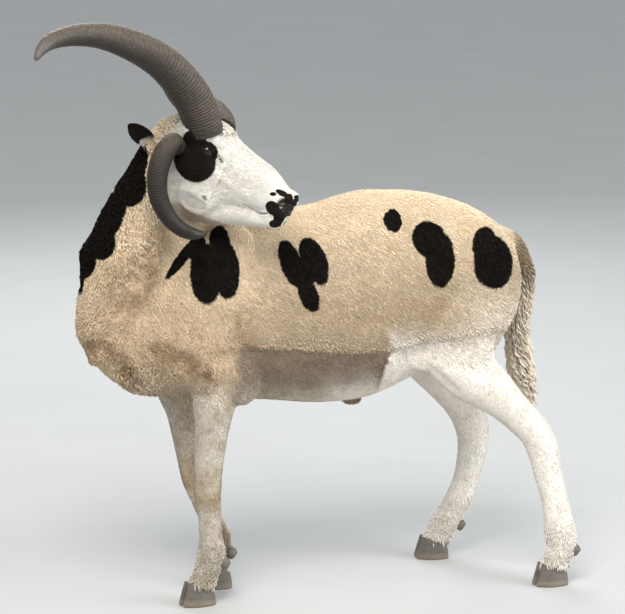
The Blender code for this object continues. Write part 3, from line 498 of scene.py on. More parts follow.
# Swellings of the head, given for the left side in its own frame: centre, radii, turn
HEAD_BALLS = (
    ((0.072, 0.032, -0.022), (0.045, 0.022, 0.045), 20),  # cheek
    ((0.055, 0.040, 0.068), (0.032, 0.016, 0.014), 10),  # brow
    ((0.203, 0.018, 0.012), (0.025, 0.0135, 0.019), 15),  # upper lip
    ((0.200, 0.012, -0.012), (0.026, 0.013, 0.013), -12),  # lower lip
    ((0.024, 0.038, 0.066), (0.038, 0.034, 0.026), -20),  # foot of the horns
    ((0.213, 0.017, 0.034), (0.016, 0.012, 0.013), 30),  # rim of the nostril
    ((0.057, 0.043, 0.045), (0.0186, 0.0186, 0.0186), 0),  # eyelids
)
DEWCLAWS = {
    "fore_left": (-0.190, -0.062, 0.076),
    "fore_right": (-0.143, 0.053, 0.063),
    "hind_left": (0.466, -0.125, 0.064),
    "hind_right": (0.335, 0.128, 0.062),
}
DEWCLAW_RADII = (0.0100, 0.0085, 0.0115)

SHEATH = ((0.075, 0.0, 0.347), (0.026, 0.013, 0.018))


def settle(piece):
    """Moves a finished mesh to where the solids stand."""
    piece.data.transform(Matrix.Translation(SHIFT))
    return piece


# %% Loft helpers
def curve_through(values, steps):
    """Catmull-Rom samples through rows of numbers, steps samples to each span, both ends included."""
    keys = np.asarray(values, float)
    padded = np.vstack([2 * keys[0] - keys[1], keys, 2 * keys[-1] - keys[-2]])
    rows = []
    for i in range(1, len(keys)):
        before, start, end, after = padded[i - 1 : i + 3]
        for t in np.arange(steps) / steps:
            rows.append(
                0.5
                * (
                    2 * start
                    + (end - before) * t
                    + (2 * before - 5 * start + 4 * end - after) * t**2
                    + (3 * start - before - 3 * end + after) * t**3
                )
            )
    rows.append(keys[-1])
    return np.array(rows)


def mesh_object(name, verts, faces, collection):
    mesh = bpy.data.meshes.new(name)
    mesh.from_pydata([tuple(v) for v in verts], [], faces)
    mesh.validate()
    made = bpy.data.objects.new(name, mesh)
    collection.objects.link(made)
    return made


def skin_rings(name, rings, collection):
    """A closed loft through rings of equal count, each end closed by a fan on its middle."""
    sides = len(rings[0])
    verts = [p for ring in rings for p in ring]
    faces = []
    for i in range(len(rings) - 1):
        low, high = i * sides, (i + 1) * sides
        for j in range(sides):
            k = (j + 1) % sides
            faces.append((low + j, low + k, high + k, high + j))
    first, last = len(verts), len(verts) + 1
    verts.append(np.mean(rings[0], axis=0))
    verts.append(np.mean(rings[-1], axis=0))
    top = (len(rings) - 1) * sides
    for j in range(sides):
        k = (j + 1) % sides
        faces.append((first, k, j))
        faces.append((last, top + j, top + k))
    made = mesh_object(name, verts, faces, collection)
    face_out(made)
    return made


def face_out(made):
    """Turns the faces outward and makes them triangles, so that a grown copy keeps their shape."""
    work = bmesh.new()
    work.from_mesh(made.data)
    bmesh.ops.triangulate(work, faces=work.faces)
    bmesh.ops.recalc_face_normals(work, faces=work.faces)
    work.to_mesh(made.data)
    work.free()


def oval(centre, across, along, power, sides):
    """A superellipse ring: across and along are its half axes as vectors."""
    points = []
    for j in range(sides):
        turn = 2 * math.pi * j / sides
        c, s = math.cos(turn), math.sin(turn)
        x = math.copysign(abs(c) ** (2 / power), c)
        y = math.copysign(abs(s) ** (2 / power), s)
        points.append(np.asarray(centre) + x * np.asarray(across) + y * np.asarray(along))
    return points


def slab_loft(name, stations, place, collection, steps, sides):
    """A loft of stations (forward, top, bottom, half width, squareness), put in place by a matrix."""
    rows = curve_through(stations, steps)
    rings = []
    for forward, top, bottom, half, power in rows:
        middle, tall = (top + bottom) / 2, (top - bottom) / 2
        ring = oval((forward, 0, middle), (0, half, 0), (0, 0, tall), power, sides)
        rings.append([np.array(place @ Vector(p)) for p in ring])
    return skin_rings(name, rings, collection)


def limb(name, points, collection, steps, sides):
    """A tube with round ends through centres, each with its half depth fore and aft and half width."""
    rows = curve_through([(*c, deep, wide) for c, deep, wide in points], steps)
    centres = rows[:, :3]
    tangents = np.gradient(centres, axis=0)
    tangents /= np.linalg.norm(tangents, axis=1)[:, None]
    rings = []
    for centre, tangent, (deep, wide) in zip(centres, tangents, rows[:, 3:]):
        across = np.cross(tangent, (1, 0, 0))
        across /= np.linalg.norm(across)
        ahead = np.cross(across, tangent)
        rings.append(oval(centre, ahead * deep, across * wide, 2.0, sides))
    rings = round_off(rings, centres, tangents, rows[:, 3])
    return skin_rings(name, rings, collection)


def round_off(rings, centres, tangents, depths):
    """Adds shrinking rings beyond both ends, so that the tube closes in a dome."""
    start, end = [], []
    for angle in (75, 50, 25):
        shrink = math.cos(math.radians(angle))
        reach = math.sin(math.radians(angle))
        for ring, centre, tangent, depth, out in (
            (rings[0], centres[0], -tangents[0], depths[0], start),
            (rings[-1], centres[-1], tangents[-1], depths[-1], end),
        ):
            shift = tangent * depth * 0.8 * reach
            out.append([centre + (p - centre) * shrink + shift for p in ring])
    return start + rings + end[::-1]


def ball(name, centre, radii, collection, turn_y=0.0, place=None, segments=20):
    """An ellipsoid from a UV sphere."""
    mesh = bpy.data.meshes.new(name)
    work = bmesh.new()
    bmesh.ops.create_uvsphere(work, u_segments=segments, v_segments=segments // 2 + 2, radius=1.0)
    scale = Matrix.Diagonal((*radii, 1.0))
    matrix = Matrix.Translation(centre) @ Matrix.Rotation(math.radians(turn_y), 4, "Y") @ scale
    if place is not None:
        matrix = place @ matrix
    work.transform(matrix)
    work.to_mesh(mesh)
    work.free()
    made = bpy.data.objects.new(name, mesh)
    collection.objects.link(made)
    return made


def head_frame():
    """Matrix from the head's own frame (forward, left, up) to the ram's."""
    forward = Vector(
        (
            math.cos(HEAD_AZIMUTH) * math.cos(HEAD_PITCH),
            math.sin(HEAD_AZIMUTH) * math.cos(HEAD_PITCH),
            math.sin(HEAD_PITCH),
        )
    )
    left = Vector((-math.sin(HEAD_AZIMUTH), math.cos(HEAD_AZIMUTH), 0))
    rise = forward.cross(left)
    up = rise * math.cos(HEAD_ROLL) + left * math.sin(HEAD_ROLL)
    left = left * math.cos(HEAD_ROLL) - rise * math.sin(HEAD_ROLL)
    matrix = Matrix((forward, left, up)).transposed().to_4x4()
    return Matrix.Translation(HEAD_AT) @ matrix


def evaluated_copy(name, source, collection):
    """The evaluated mesh of source as a new plain object; source is removed."""
    bpy.context.view_layer.update()
    graph = bpy.context.evaluated_depsgraph_get()
    mesh = bpy.data.meshes.new_from_object(source.evaluated_get(graph))
    mesh.name = name
    made = bpy.data.objects.new(name, mesh)
    made.matrix_world = source.matrix_world
    collection.objects.link(made)
    bpy.data.objects.remove(source)
    return made


def blend(name, pieces, voxel, relax, collection):
    """Joins closed pieces into one closed surface by a voxel remesh, and relaxes the creases."""
    work = bmesh.new()
    for piece in pieces:
        work.from_mesh(piece.data)
        bpy.data.objects.remove(piece)
    mesh = bpy.data.meshes.new(name)
    work.to_mesh(mesh)
    work.free()
    joined = bpy.data.objects.new(name, mesh)
    collection.objects.link(joined)
    remesh = joined.modifiers.new("blend", "REMESH")
    remesh.mode = "VOXEL"
    remesh.voxel_size = voxel
    smooth = joined.modifiers.new("relax", "SMOOTH")
    smooth.factor = 0.5
    smooth.iterations = relax
    return evaluated_copy(name, joined, collection)


# %% Melt the forms into one fine skin
work = bpy.data.collections.new("helpers")
scene.collection.children.link(work)
head_place = head_frame()
upright = Matrix.Identity(4)
flesh = [
    slab_loft("trunk", TRUNK, upright, work, 8, 44),
    limb("neck_tube", NECK, work, 6, 32),
    slab_loft("skull", SKULL, head_place, work, 8, 40),
    slab_loft("jaw", JAW, head_place, work, 8, 36),
    limb("tail", TAIL, work, 5, 20),
    limb("scrotum", SCROTUM, work, 5, 20),
    ball("sheath", *SHEATH, work),
]
for side in (-1, 1):
    for centre, radii, turn in MUSCLES:
        flesh.append(ball("muscle", (centre[0], centre[1] * side, centre[2]), radii, work, turn, None, 28))
    for centre, radii, turn in HEAD_BALLS:
        flesh.append(
            ball("swelling", (centre[0], centre[1] * side, centre[2]), radii, work, turn, head_place, 24)
        )
for legs in (FORELEGS, HINDLEGS):
    for points in legs.values():
        flesh.append(limb("leg", points, work, 6, 26))
VOXEL = 0.0030
skin = blend("skin", flesh, VOXEL, 5, work)
print("melted skin", len(skin.data.vertices), "points")

# %% [markdown]
# A coat has depth, so the skin lies a little inside the solids: 7 mm where the short fleece grows,
# 8.5 mm on the belly, and 1.6 mm on face and legs. Every rule below is a smooth function of
# place, worked out for all points at once as arrays, which is quicker and gentler than sculpting.

# %% Measures over the skin


def points_of(mesh):
    values = np.empty(len(mesh.vertices) * 3, np.float32)
    mesh.vertices.foreach_get("co", values)
    return values.reshape(-1, 3).astype(float)


def normals_of(mesh):
    values = np.empty(len(mesh.vertices) * 3, np.float32)
    mesh.vertex_normals.foreach_get("vector", values)
    return values.reshape(-1, 3).astype(float)


def move_points(mesh, points):
    mesh.vertices.foreach_set("co", points.astype(np.float32).ravel())
    mesh.update()


def step(values, low, high):
    """0 below low, 1 above high, smooth between."""
    share = np.clip((values - low) / (high - low), 0.0, 1.0)
    return share * share * (3 - 2 * share)


def in_head(points):
    """Points in the head's own frame: forward, left, up."""
    matrix = np.array(head_place.inverted())
    return points @ matrix[:3, :3].T + matrix[:3, 3]


def face_share(points):
    """1 on the short-haired face, 0 on the woolly neck."""
    ahead, left, above = in_head(points).T
    share = step(ahead + 0.30 * above, -0.040, 0.005) * step(0.27 - ahead, 0.0, 0.01)
    stations = (0.03, 0.095, 0.130, 0.165, 0.225)
    floor_of_jaw = np.interp(ahead, stations, (-0.105, -0.088, -0.076, -0.060, -0.045))
    widest = np.interp(above, (-0.075, -0.040, 0.000), (0.036, 0.052, 0.088))
    widest = np.where(ahead > 0.10, np.minimum(widest, 0.050), widest)
    return share * step(widest - np.abs(left), -0.002, 0.008) * step(above - floor_of_jaw, 0.0, 0.008)


def ridge_height(x):
    """Height of the lower edge of the fleece along the flank."""
    stations = (-0.45, -0.17, -0.05, 0.02, 0.10, 0.20, 0.40)
    return np.interp(x, stations, (0.44, 0.485, 0.472, 0.466, 0.462, 0.48, 0.50))


def leg_share(points):
    """1 on the legs below the fleece."""
    x, z = points[:, 0], points[:, 2]
    edge = np.where(x > 0.10, 0.425 - 0.10 * (x - 0.30), 0.385)
    off_middle = step(np.abs(points[:, 1]), 0.045, 0.065)
    return step(edge - z, -0.012, 0.025) * off_middle


def pale_share(points):
    """Where the wool pales into the white of the legs, well above the edge of the fleece."""
    x, z = points[:, 0], points[:, 2]
    edge = np.where(x > 0.10, 0.470 - 0.10 * (x - 0.30), 0.400)
    return step(edge - z, -0.06, 0.07) * step(np.abs(points[:, 1]), 0.035, 0.075)


def tail_share(points):
    """1 on the hanging tail."""
    x, y, z = points.T
    return step(x, 0.372, 0.384) * step(0.05 - np.abs(y), 0.0, 0.01) * step(0.60 - z, 0, 0.03)


def coat_depth(points):
    """How far the skin lies under the tips of the coat."""
    face, leg = face_share(points), leg_share(points)
    belly = step(ridge_height(points[:, 0]) - points[:, 2], -0.004, 0.010)
    wool = 0.0070 - 0.0005 * belly
    wool = np.where(belly > 0, wool + 0.0020 * belly, wool)
    depth = wool * (1 - face) * (1 - leg) + 0.0016 * np.maximum(face, leg)
    return depth


mesh = skin.data
points, normals = points_of(mesh), normals_of(mesh)
move_points(mesh, points - normals * coat_depth(points)[:, None])
print("skin drawn in by up to", round(float(coat_depth(points).max()), 4))

# %% Thin the plain stretches and keep the head fine
SHARE_KEPT = 0.19  # keeps the finished skin just under 200,000 triangles
group = skin.vertex_groups.new(name="plain")
away = 1.0 - np.maximum(face_share(points), 0.0)
for level in np.unique(np.round(away, 1)):
    chosen = np.nonzero(np.round(away, 1) == level)[0]
    if level > 0:
        group.add(chosen.tolist(), float(level), "REPLACE")
thin = skin.modifiers.new("thin", "DECIMATE")
thin.vertex_group = "plain"
thin.ratio = SHARE_KEPT
skin.name = "skin_fine"
skin = evaluated_copy("skin", skin, work)
skin.vertex_groups.clear()
print("thinned skin", len(skin.data.polygons), "faces")

# %% [markdown]
# Eyelids, nostrils, lips and the mouth line need a net of half a millimetre or so, and the rest of
# the head doesn't. The net is made finer only around them, and each feature is then pressed or
# raised by its distance from a line or an almond drawn in the head's frame.

# %% Finer net round eyes and muzzle
EYE_BALL = 0.0150


def eye_frame(side):
    """Centre of the eye and the axes out, towards the nose and up, in the head's frame."""
    out = Vector((0.26, 0.95 * side, 0.12)).normalized()
    nose = Vector((1, 0, -0.22))
    nose = (nose - out * nose.dot(out)).normalized()
    up = out.cross(nose) * (1 if side < 0 else -1)
    up = up if up.z > 0 else -up
    return np.array((EYE_AT[0], EYE_AT[1] * side, EYE_AT[2])), np.array(out), np.array(nose), np.array(up)


def refine(made, chooser):
    """Cuts every face whose middle the chooser picks into four."""
    net = bmesh.new()
    net.from_mesh(made.data)
    middles = in_head(np.array([face.calc_center_median() for face in net.faces]))
    chosen = chooser(middles)
    edges = {edge for face, yes in zip(net.faces, chosen) if yes for edge in face.edges}
    bmesh.ops.subdivide_edges(net, edges=list(edges), cuts=1, use_grid_fill=True, smooth=0.0)
    bmesh.ops.triangulate(net, faces=[face for face in net.faces if len(face.verts) > 4])
    net.to_mesh(made.data)
    net.free()


def near_eyes(reach):
    def chooser(middles):
        found = np.zeros(len(middles), bool)
        for side in (-1, 1):
            centre, out, _, _ = eye_frame(side)
            away = middles - centre
            found |= (np.linalg.norm(away, axis=1) < reach) & (away @ out > 0.004)
        return found
    return chooser


def muzzle(start, low, top):
    """Picks the part of the muzzle ahead of start, between two heights."""
    def chooser(middles):
        ahead, left, above = middles.T
        inside = (ahead > start) & (ahead < 0.25) & (np.abs(left) < 0.05)
        return inside & (above > low) & (above < top)
    return chooser


refine(skin, muzzle(0.158, -0.045, 0.055))
refine(skin, muzzle(0.186, -0.030, 0.050))
refine(skin, near_eyes(0.028))
refine(skin, near_eyes(0.023))
refine(skin, near_eyes(0.0195))
print("refined skin", len(skin.data.polygons), "faces")

# %% Press and raise the features of the face


def distance_to(points, line):
    """Distance of each point to a polyline, and the share along it of the nearest place."""
    path = curve_through(line, 14)
    best = np.full(len(points), 9.0)
    share = np.zeros(len(points))
    for i, place in enumerate(path):
        away = np.linalg.norm(points - place, axis=1)
        nearer = away < best
        best[nearer] = away[nearer]
        share[nearer] = i / (len(path) - 1)
    return best, share


def both_sides(line):
    return [line, [(f, -l, u) for f, l, u in line]]


NOSTRIL = [
    (0.2265, 0.0085, 0.0270), (0.2270, 0.0150, 0.0315), (0.2205, 0.0200, 0.0372), (0.2090, 0.0232, 0.0385),
]
PHILTRUM = [(0.2300, 0.0, 0.0260), (0.2310, 0.0, 0.0170), (0.2300, 0.0, 0.0080)]


def sculpt_face(mesh):
    points, normals = points_of(mesh), normals_of(mesh)
    head = in_head(points)
    turn = np.array(head_place)[:3, :3]
    shift = np.zeros(len(points))
    near = np.nonzero(muzzle(0.14, -0.08, 0.08)(head))[0]
    place = head[near]
    for line in both_sides(MOUTH_LINE):
        away, share = distance_to(place, line)
        shift[near] -= 0.0030 * np.exp(-((away / 0.0011) ** 2)) * step(share, 0.0, 0.12) * 0.75
        shift[near] += 0.0011 * np.exp(-(((away - 0.0040) / 0.0022) ** 2)) * step(share, 0.2, 0.6)
    for line in both_sides(NOSTRIL):
        away, share = distance_to(place, line)
        wide = 0.0013 + 0.0017 * np.sin(math.pi * np.clip(share * 0.9 + 0.05, 0, 1))
        shift[near] -= 0.0075 * (1 - step(away / wide, 0.55, 1.25))
        shift[near] += 0.0014 * np.exp(-(((away - wide * 1.7) / 0.0016) ** 2))
    away, _ = distance_to(place, PHILTRUM)
    shift[near] -= 0.0018 * np.exp(-((away / 0.0013) ** 2))
    # the crest of the cheek, the hollow before the eye and the line of the jaw
    for side in (-1, 1):
        line = [(0.080, 0.050 * side, 0.018), (0.115, 0.040 * side, 0.012), (0.150, 0.033 * side, 0.010)]
        away, _ = distance_to(head, line)
        shift += 0.0022 * np.exp(-((away / 0.0075) ** 2))
        line = [(0.078, 0.052 * side, 0.036), (0.098, 0.046 * side, 0.028)]
        away, _ = distance_to(head, line)
        shift -= 0.0020 * np.exp(-((away / 0.0048) ** 2))
        line = [(0.060, 0.036 * side, -0.052), (0.095, 0.035 * side, -0.050), (0.130, 0.029 * side, -0.030)]
        away, _ = distance_to(head, line)
        shift -= 0.0014 * np.exp(-((away / 0.0080) ** 2))
    points = points + normals * shift[:, None]
    # the lids: every point near an eye is set at its own distance from the eye's centre
    head = in_head(points)
    for side in (-1, 1):
        centre, out, nose, up = eye_frame(side)
        rel = head - centre
        far = np.linalg.norm(rel, axis=1)
        near = np.nonzero((far < 0.030) & (rel @ out > 0.002))[0]
        way = rel[near] / far[near][:, None]
        ahead = EYE_BALL * np.arctan2(way @ nose, way @ out)
        above = EYE_BALL * np.arctan2(way @ up, way @ out)
        ahead, above = ahead - 0.0005, above + 0.12 * ahead
        tall = np.where(above > 0, 0.0052, 0.0030)
        long = np.where(ahead > 0, 0.0148, 0.0130)
        ring = np.sqrt((ahead / long) ** 2 + (above / tall) ** 2) + 1e-6
        edge = (ring - 1.0) * np.sqrt(ahead**2 + above**2) / ring
        lid = EYE_BALL + 0.0006 + 0.0020 * step(edge, 0.0, 0.0018)
        fold = np.where(above > 0, 0.0052, 0.0046)
        lid = lid - np.where(above > 0, 0.0014, 0.0008) * np.exp(-(((edge - fold) / 0.0011) ** 2))
        lid = lid - 0.0050 * (1 - step(edge, -0.0009, 0.0))
        hold = 1 - step(edge, 0.0048, 0.0105)
        wanted = lid * hold + far[near] * (1 - hold)
        moved = centre + way * wanted[:, None]
        head[near] = moved
        points[near] = moved @ turn.T + np.array(head_place)[:3, 3]
    move_points(mesh, points)


sculpt_face(skin.data)
print("face sculpted")

# %% [markdown]
# On the body the same method raises what shows through a shorn coat: the step where the fleece ends
# along the flank, the fold of skin before the thigh, low folds on the brisket and the unevenness
# that hand shears leave.

# %% Flank, fold and shear marks
from mathutils import noise as field

# Creases of the shorn coat on neck, brisket and behind the elbow: line, depth, half width
CREASES = (
    ([(-0.309, -0.105, 0.690), (-0.325, -0.096, 0.637), (-0.351, -0.104, 0.586), (-0.391, -0.092, 0.551)],
     0.0050, 0.013),
    ([(-0.330, -0.094, 0.637), (-0.368, -0.087, 0.627), (-0.401, -0.074, 0.596)], 0.0040, 0.010),
    ([(-0.435, -0.003, 0.466), (-0.419, -0.084, 0.483), (-0.393, -0.108, 0.465), (-0.360, -0.090, 0.420)],
     0.0070, 0.012),
    ([(-0.172, -0.132, 0.528), (-0.166, -0.130, 0.486), (-0.169, -0.128, 0.437)], 0.0060, 0.009),
    ([(-0.321, -0.123, 0.481), (-0.278, -0.111, 0.458), (-0.238, -0.120, 0.429)], 0.0045, 0.012),
)
FLANK_FOLD = [(0.090, -0.143, 0.475), (0.150, -0.126, 0.435), (0.198, -0.128, 0.411), (0.225, -0.130, 0.385)]


def sculpt_body(mesh):
    points, normals = points_of(mesh), normals_of(mesh)
    body = (1 - face_share(points)) * (1 - leg_share(points))
    shift = np.zeros(len(points))
    for side in (-1, 1):
        line = [(x, y * -side, z) for x, y, z in FLANK_FOLD]
        away, _ = distance_to(points, line)
        shift -= 0.0045 * np.exp(-((away / 0.0080) ** 2))
        line = [(x - 0.010, y * -side, z + 0.020) for x, y, z in FLANK_FOLD]
        away, _ = distance_to(points, line)
        shift += 0.0030 * np.exp(-((away / 0.0110) ** 2))
        for line, depth, half in CREASES:
            away, _ = distance_to(points, [(x, y * -side, z) for x, y, z in line])
            shift -= depth * np.exp(-((away / half) ** 2))
            shift += 0.45 * depth * np.exp(-(((away - 2.1 * half) / half) ** 2))
    brisket = step(-points[:, 0], 0.16, 0.24) * step(0.74 - points[:, 2], 0, 0.10) * body
    rough = np.array([field.fractal(Vector(p) * 26.0, 0.8, 2.2, 3) for p in points])
    folds = np.array([field.noise(Vector((p[0] * 9, p[1] * 9, p[2] * 24))) for p in points])
    shift += body * rough * 0.0009
    shift += brisket * folds * 0.0058
    move_points(mesh, points + normals * shift[:, None])


sculpt_body(skin.data)
print("body sculpted")

# %% [markdown]
# An ear is a thin cup, too thin for the voxel grid. It is lofted from crescents, with its back and
# its inner face, and joined to the skin by a union, so that no line parts it from the head.

# %% Ears joined to the skin
EAR_THICKNESS = 0.0036


def make_ear(side):
    """A cupped leaf: each section is a crescent that bulges to the rear."""
    rows = curve_through([(f, o * side, u, w) for f, o, u, w in EAR], 7)
    centres = rows[:, :3]
    tangents = np.gradient(centres, axis=0)
    tangents /= np.linalg.norm(tangents, axis=1)[:, None]
    facing = np.array((0.78, 0.45 * side, -0.30))
    rings = []
    for i, (centre, tangent, half) in enumerate(zip(centres, tangents, rows[:, 3])):
        share = i / (len(rows) - 1)
        half = half * 0.96
        face = facing - tangent * np.dot(facing, tangent)
        face /= np.linalg.norm(face)
        wide = np.cross(tangent, face)
        thick = EAR_THICKNESS + (half * 1.5 - EAR_THICKNESS) * max(0.0, 1 - share / 0.28)
        thick *= 1 - 0.55 * max(0.0, share - 0.6) / 0.4
        ring = []
        for u in np.linspace(-1, 1, 13):
            ring.append(centre + wide * half * u - face * half * 0.62 * (1 - u * u))
        for u in np.linspace(0.86, -0.86, 11):
            bulge = half * 0.62 * (1 - u * u) - thick * (1 - 0.45 * u * u)
            ring.append(centre + wide * half * u * 0.97 - face * bulge)
        rings.append([np.array(head_place @ Vector(p)) for p in ring])
    return skin_rings("ear", rings, work)


for side in (-1, 1):
    ear = make_ear(side)
    join = skin.modifiers.new("join", "BOOLEAN")
    join.operation = "UNION"
    join.solver = "MANIFOLD"
    join.object = ear
    skin.name = "skin_without_ear"
    skin = evaluated_copy("skin", skin, work)
    bpy.data.objects.remove(ear)
    print("skin with ear", len(skin.data.polygons), "faces")

# %% Record what grows where, for the finishes and the coat
LIE_FACE = Vector((-1.0, 0.0, -0.12))


def set_float(mesh, name, values):
    made = mesh.attributes.get(name) or mesh.attributes.new(name, "FLOAT", "POINT")
    made.data.foreach_set("value", np.asarray(values, np.float32))


def set_vector(mesh, name, values):
    made = mesh.attributes.get(name) or mesh.attributes.new(name, "FLOAT_VECTOR", "POINT")
    made.data.foreach_set("vector", np.asarray(values, np.float32).ravel())


def above_head(points):
    """Height over the skull between the horns, 0 elsewhere."""
    ahead, left, above = in_head(points).T
    return np.where((np.abs(left) < 0.030) & (ahead > 0.0) & (ahead < 0.075), above, 0.0)


def lie_of_coat(points):
    """The way the hair lies: back and down the trunk, down neck, legs and tail, up the face."""
    face, leg = face_share(points)[:, None], leg_share(points)[:, None]
    turn = np.array(head_place)[:3, :3]
    x, y, _ = points.T
    trunk = np.stack([0.75 + 0 * x, 0.35 * np.sign(y), -0.60 - 0.5 * np.abs(y) / 0.12], axis=1)
    neck = step(-points[:, 0], 0.12, 0.22)[:, None]
    trunk = trunk * (1 - neck) + np.array((0.25, 0.0, -1.0)) * neck
    rear = step(points[:, 0], 0.24, 0.34)[:, None]
    trunk = trunk * (1 - rear) + np.array((0.45, 0.0, -1.0)) * rear
    up_face = turn @ np.array(LIE_FACE)
    swirl = np.array([field.noise_vector(Vector(p) * 14.0) for p in points])
    trunk = trunk + 0.45 * swirl
    crown = step(above_head(points), 0.060, 0.085)[:, None] * face
    up_face = up_face * (1 - crown) + (turn @ np.array((-0.1, 0.0, 1.0))) * crown
    lie = trunk * (1 - face) + up_face * face
    return lie * (1 - leg) + np.array((0.05, 0.0, -1.0)) * leg


# Dark lines in the head's frame: line, half width, strength. Along the mouth line and the nostrils they are
# painted shade in the crease of the lips and the nostril openings.
DARK_LINES = (
    (MOUTH_LINE, 0.0018, 1.0),
    (NOSTRIL, 0.0030, 1.0),
    ([(0.068, 0.054, 0.050), (0.082, 0.051, 0.0485), (0.092, 0.0495, 0.042)], 0.0025, 1.0),
    ([(0.076, 0.054, 0.042), (0.085, 0.053, 0.039), (0.096, 0.050, 0.037)], 0.0012, 0.6),
    ([(0.090, 0.051, -0.0275), (0.094, 0.0505, -0.030)], 0.0028, 0.8),
)


def groove_share(points):
    """1 along the lips and the nostrils, as painted shade in the mouth line and the nostril openings, and
    along the tear lines.
    """
    head = in_head(points)
    near = np.nonzero((head[:, 0] > 0.05) & (head[:, 0] < 0.25) & (np.abs(head[:, 1]) < 0.08))[0]
    best = np.zeros(len(points))
    for table, half, strength in DARK_LINES:
        for line in both_sides(table):
            away, _ = distance_to(head[near], line)
            best[near] = np.maximum(best[near], strength * (1 - step(away / half, 0.6, 1.5)))
    return best


def crease_shade_and_stain_share(points):
    """1 in the creases: painted shade there, and the lanolin and dirt that gather there."""
    best = np.zeros(len(points))
    for side in (-1, 1):
        for line, _, half in CREASES:
            away, _ = distance_to(points, [(x, y * -side, z) for x, y, z in line])
            best = np.maximum(best, np.exp(-((away / (2.0 * half)) ** 2)))
    return best


points = points_of(skin.data)
ahead, left, above = in_head(points).T
on_ear = step(np.abs(left), 0.062, 0.072) * step(-ahead, -0.006, 0.004) * step(0.060 - above, 0, 0.01)
on_ear = on_ear * step(above, -0.03, -0.02) * step(points[:, 2], 0.76, 0.78)
belly = step(ridge_height(points[:, 0]) - points[:, 2], -0.004, 0.010) * (1 - leg_share(points))
belly = belly * step(points[:, 0], -0.20, -0.16)
belly = belly * (1 - step(points[:, 0], 0.20, 0.26)) * (1 - tail_share(points))
set_float(skin.data, "face", np.maximum(face_share(points), on_ear))
set_float(skin.data, "leg", leg_share(points))
set_float(skin.data, "belly", belly)
set_float(skin.data, "ear", on_ear)
set_float(skin.data, "pale", pale_share(points))
set_float(skin.data, "groove", groove_share(points))
set_float(skin.data, "crease_shade_and_stain", crease_shade_and_stain_share(points))
print("points on the face", int((face_share(points) > 0.5).sum()), "on ears", int((on_ear > 0.5).sum()))

# %% [markdown]
# Each horn grows round a bony core and keeps every winter as a ring. A curve carries the horn's
# thickness, and a node tree sets its radius ring by ring before a round profile is swept along it.
# The rings crowd together and bite deeper at the foot, and fade out towards the worn tip.

# %% Node tree for a ringed horn


def new_tree(name, inputs):
    """A geometry node tree with named inputs, its group input and its group output."""
    tree = bpy.data.node_groups.new(name, "GeometryNodeTree")
    tree.interface.new_socket("Geometry", in_out="INPUT", socket_type="NodeSocketGeometry")
    for label, kind in inputs:
        tree.interface.new_socket(label, in_out="INPUT", socket_type="NodeSocket" + kind)
    tree.interface.new_socket("Geometry", in_out="OUTPUT", socket_type="NodeSocketGeometry")
    return tree, tree.nodes.new("NodeGroupInput"), tree.nodes.new("NodeGroupOutput")


def close_tree(tree, last, start, end):
    """Gives the last node's mesh its material, and hands it to the tree's output."""
    finish = tree_node(
        tree, "GeometryNodeSetMaterial", None,
        {"Geometry": last.outputs[0], "Material": start.outputs["Finish"]},
    )
    tree.links.new(finish.outputs[0], end.inputs[0])
    return tree


def run_tree(made, tree, values, name):
    """Gives a mesh the tree's result with these named values, as a new plain mesh object."""
    modifier = made.modifiers.new("nodes", "NODES")
    modifier.node_group = tree
    for item in tree.interface.items_tree:
        if item.item_type == "SOCKET" and item.in_out == "INPUT" and item.name in values:
            modifier[item.identifier] = values[item.name]
    made.name = name + "_source"
    return evaluated_copy(name, made, work)


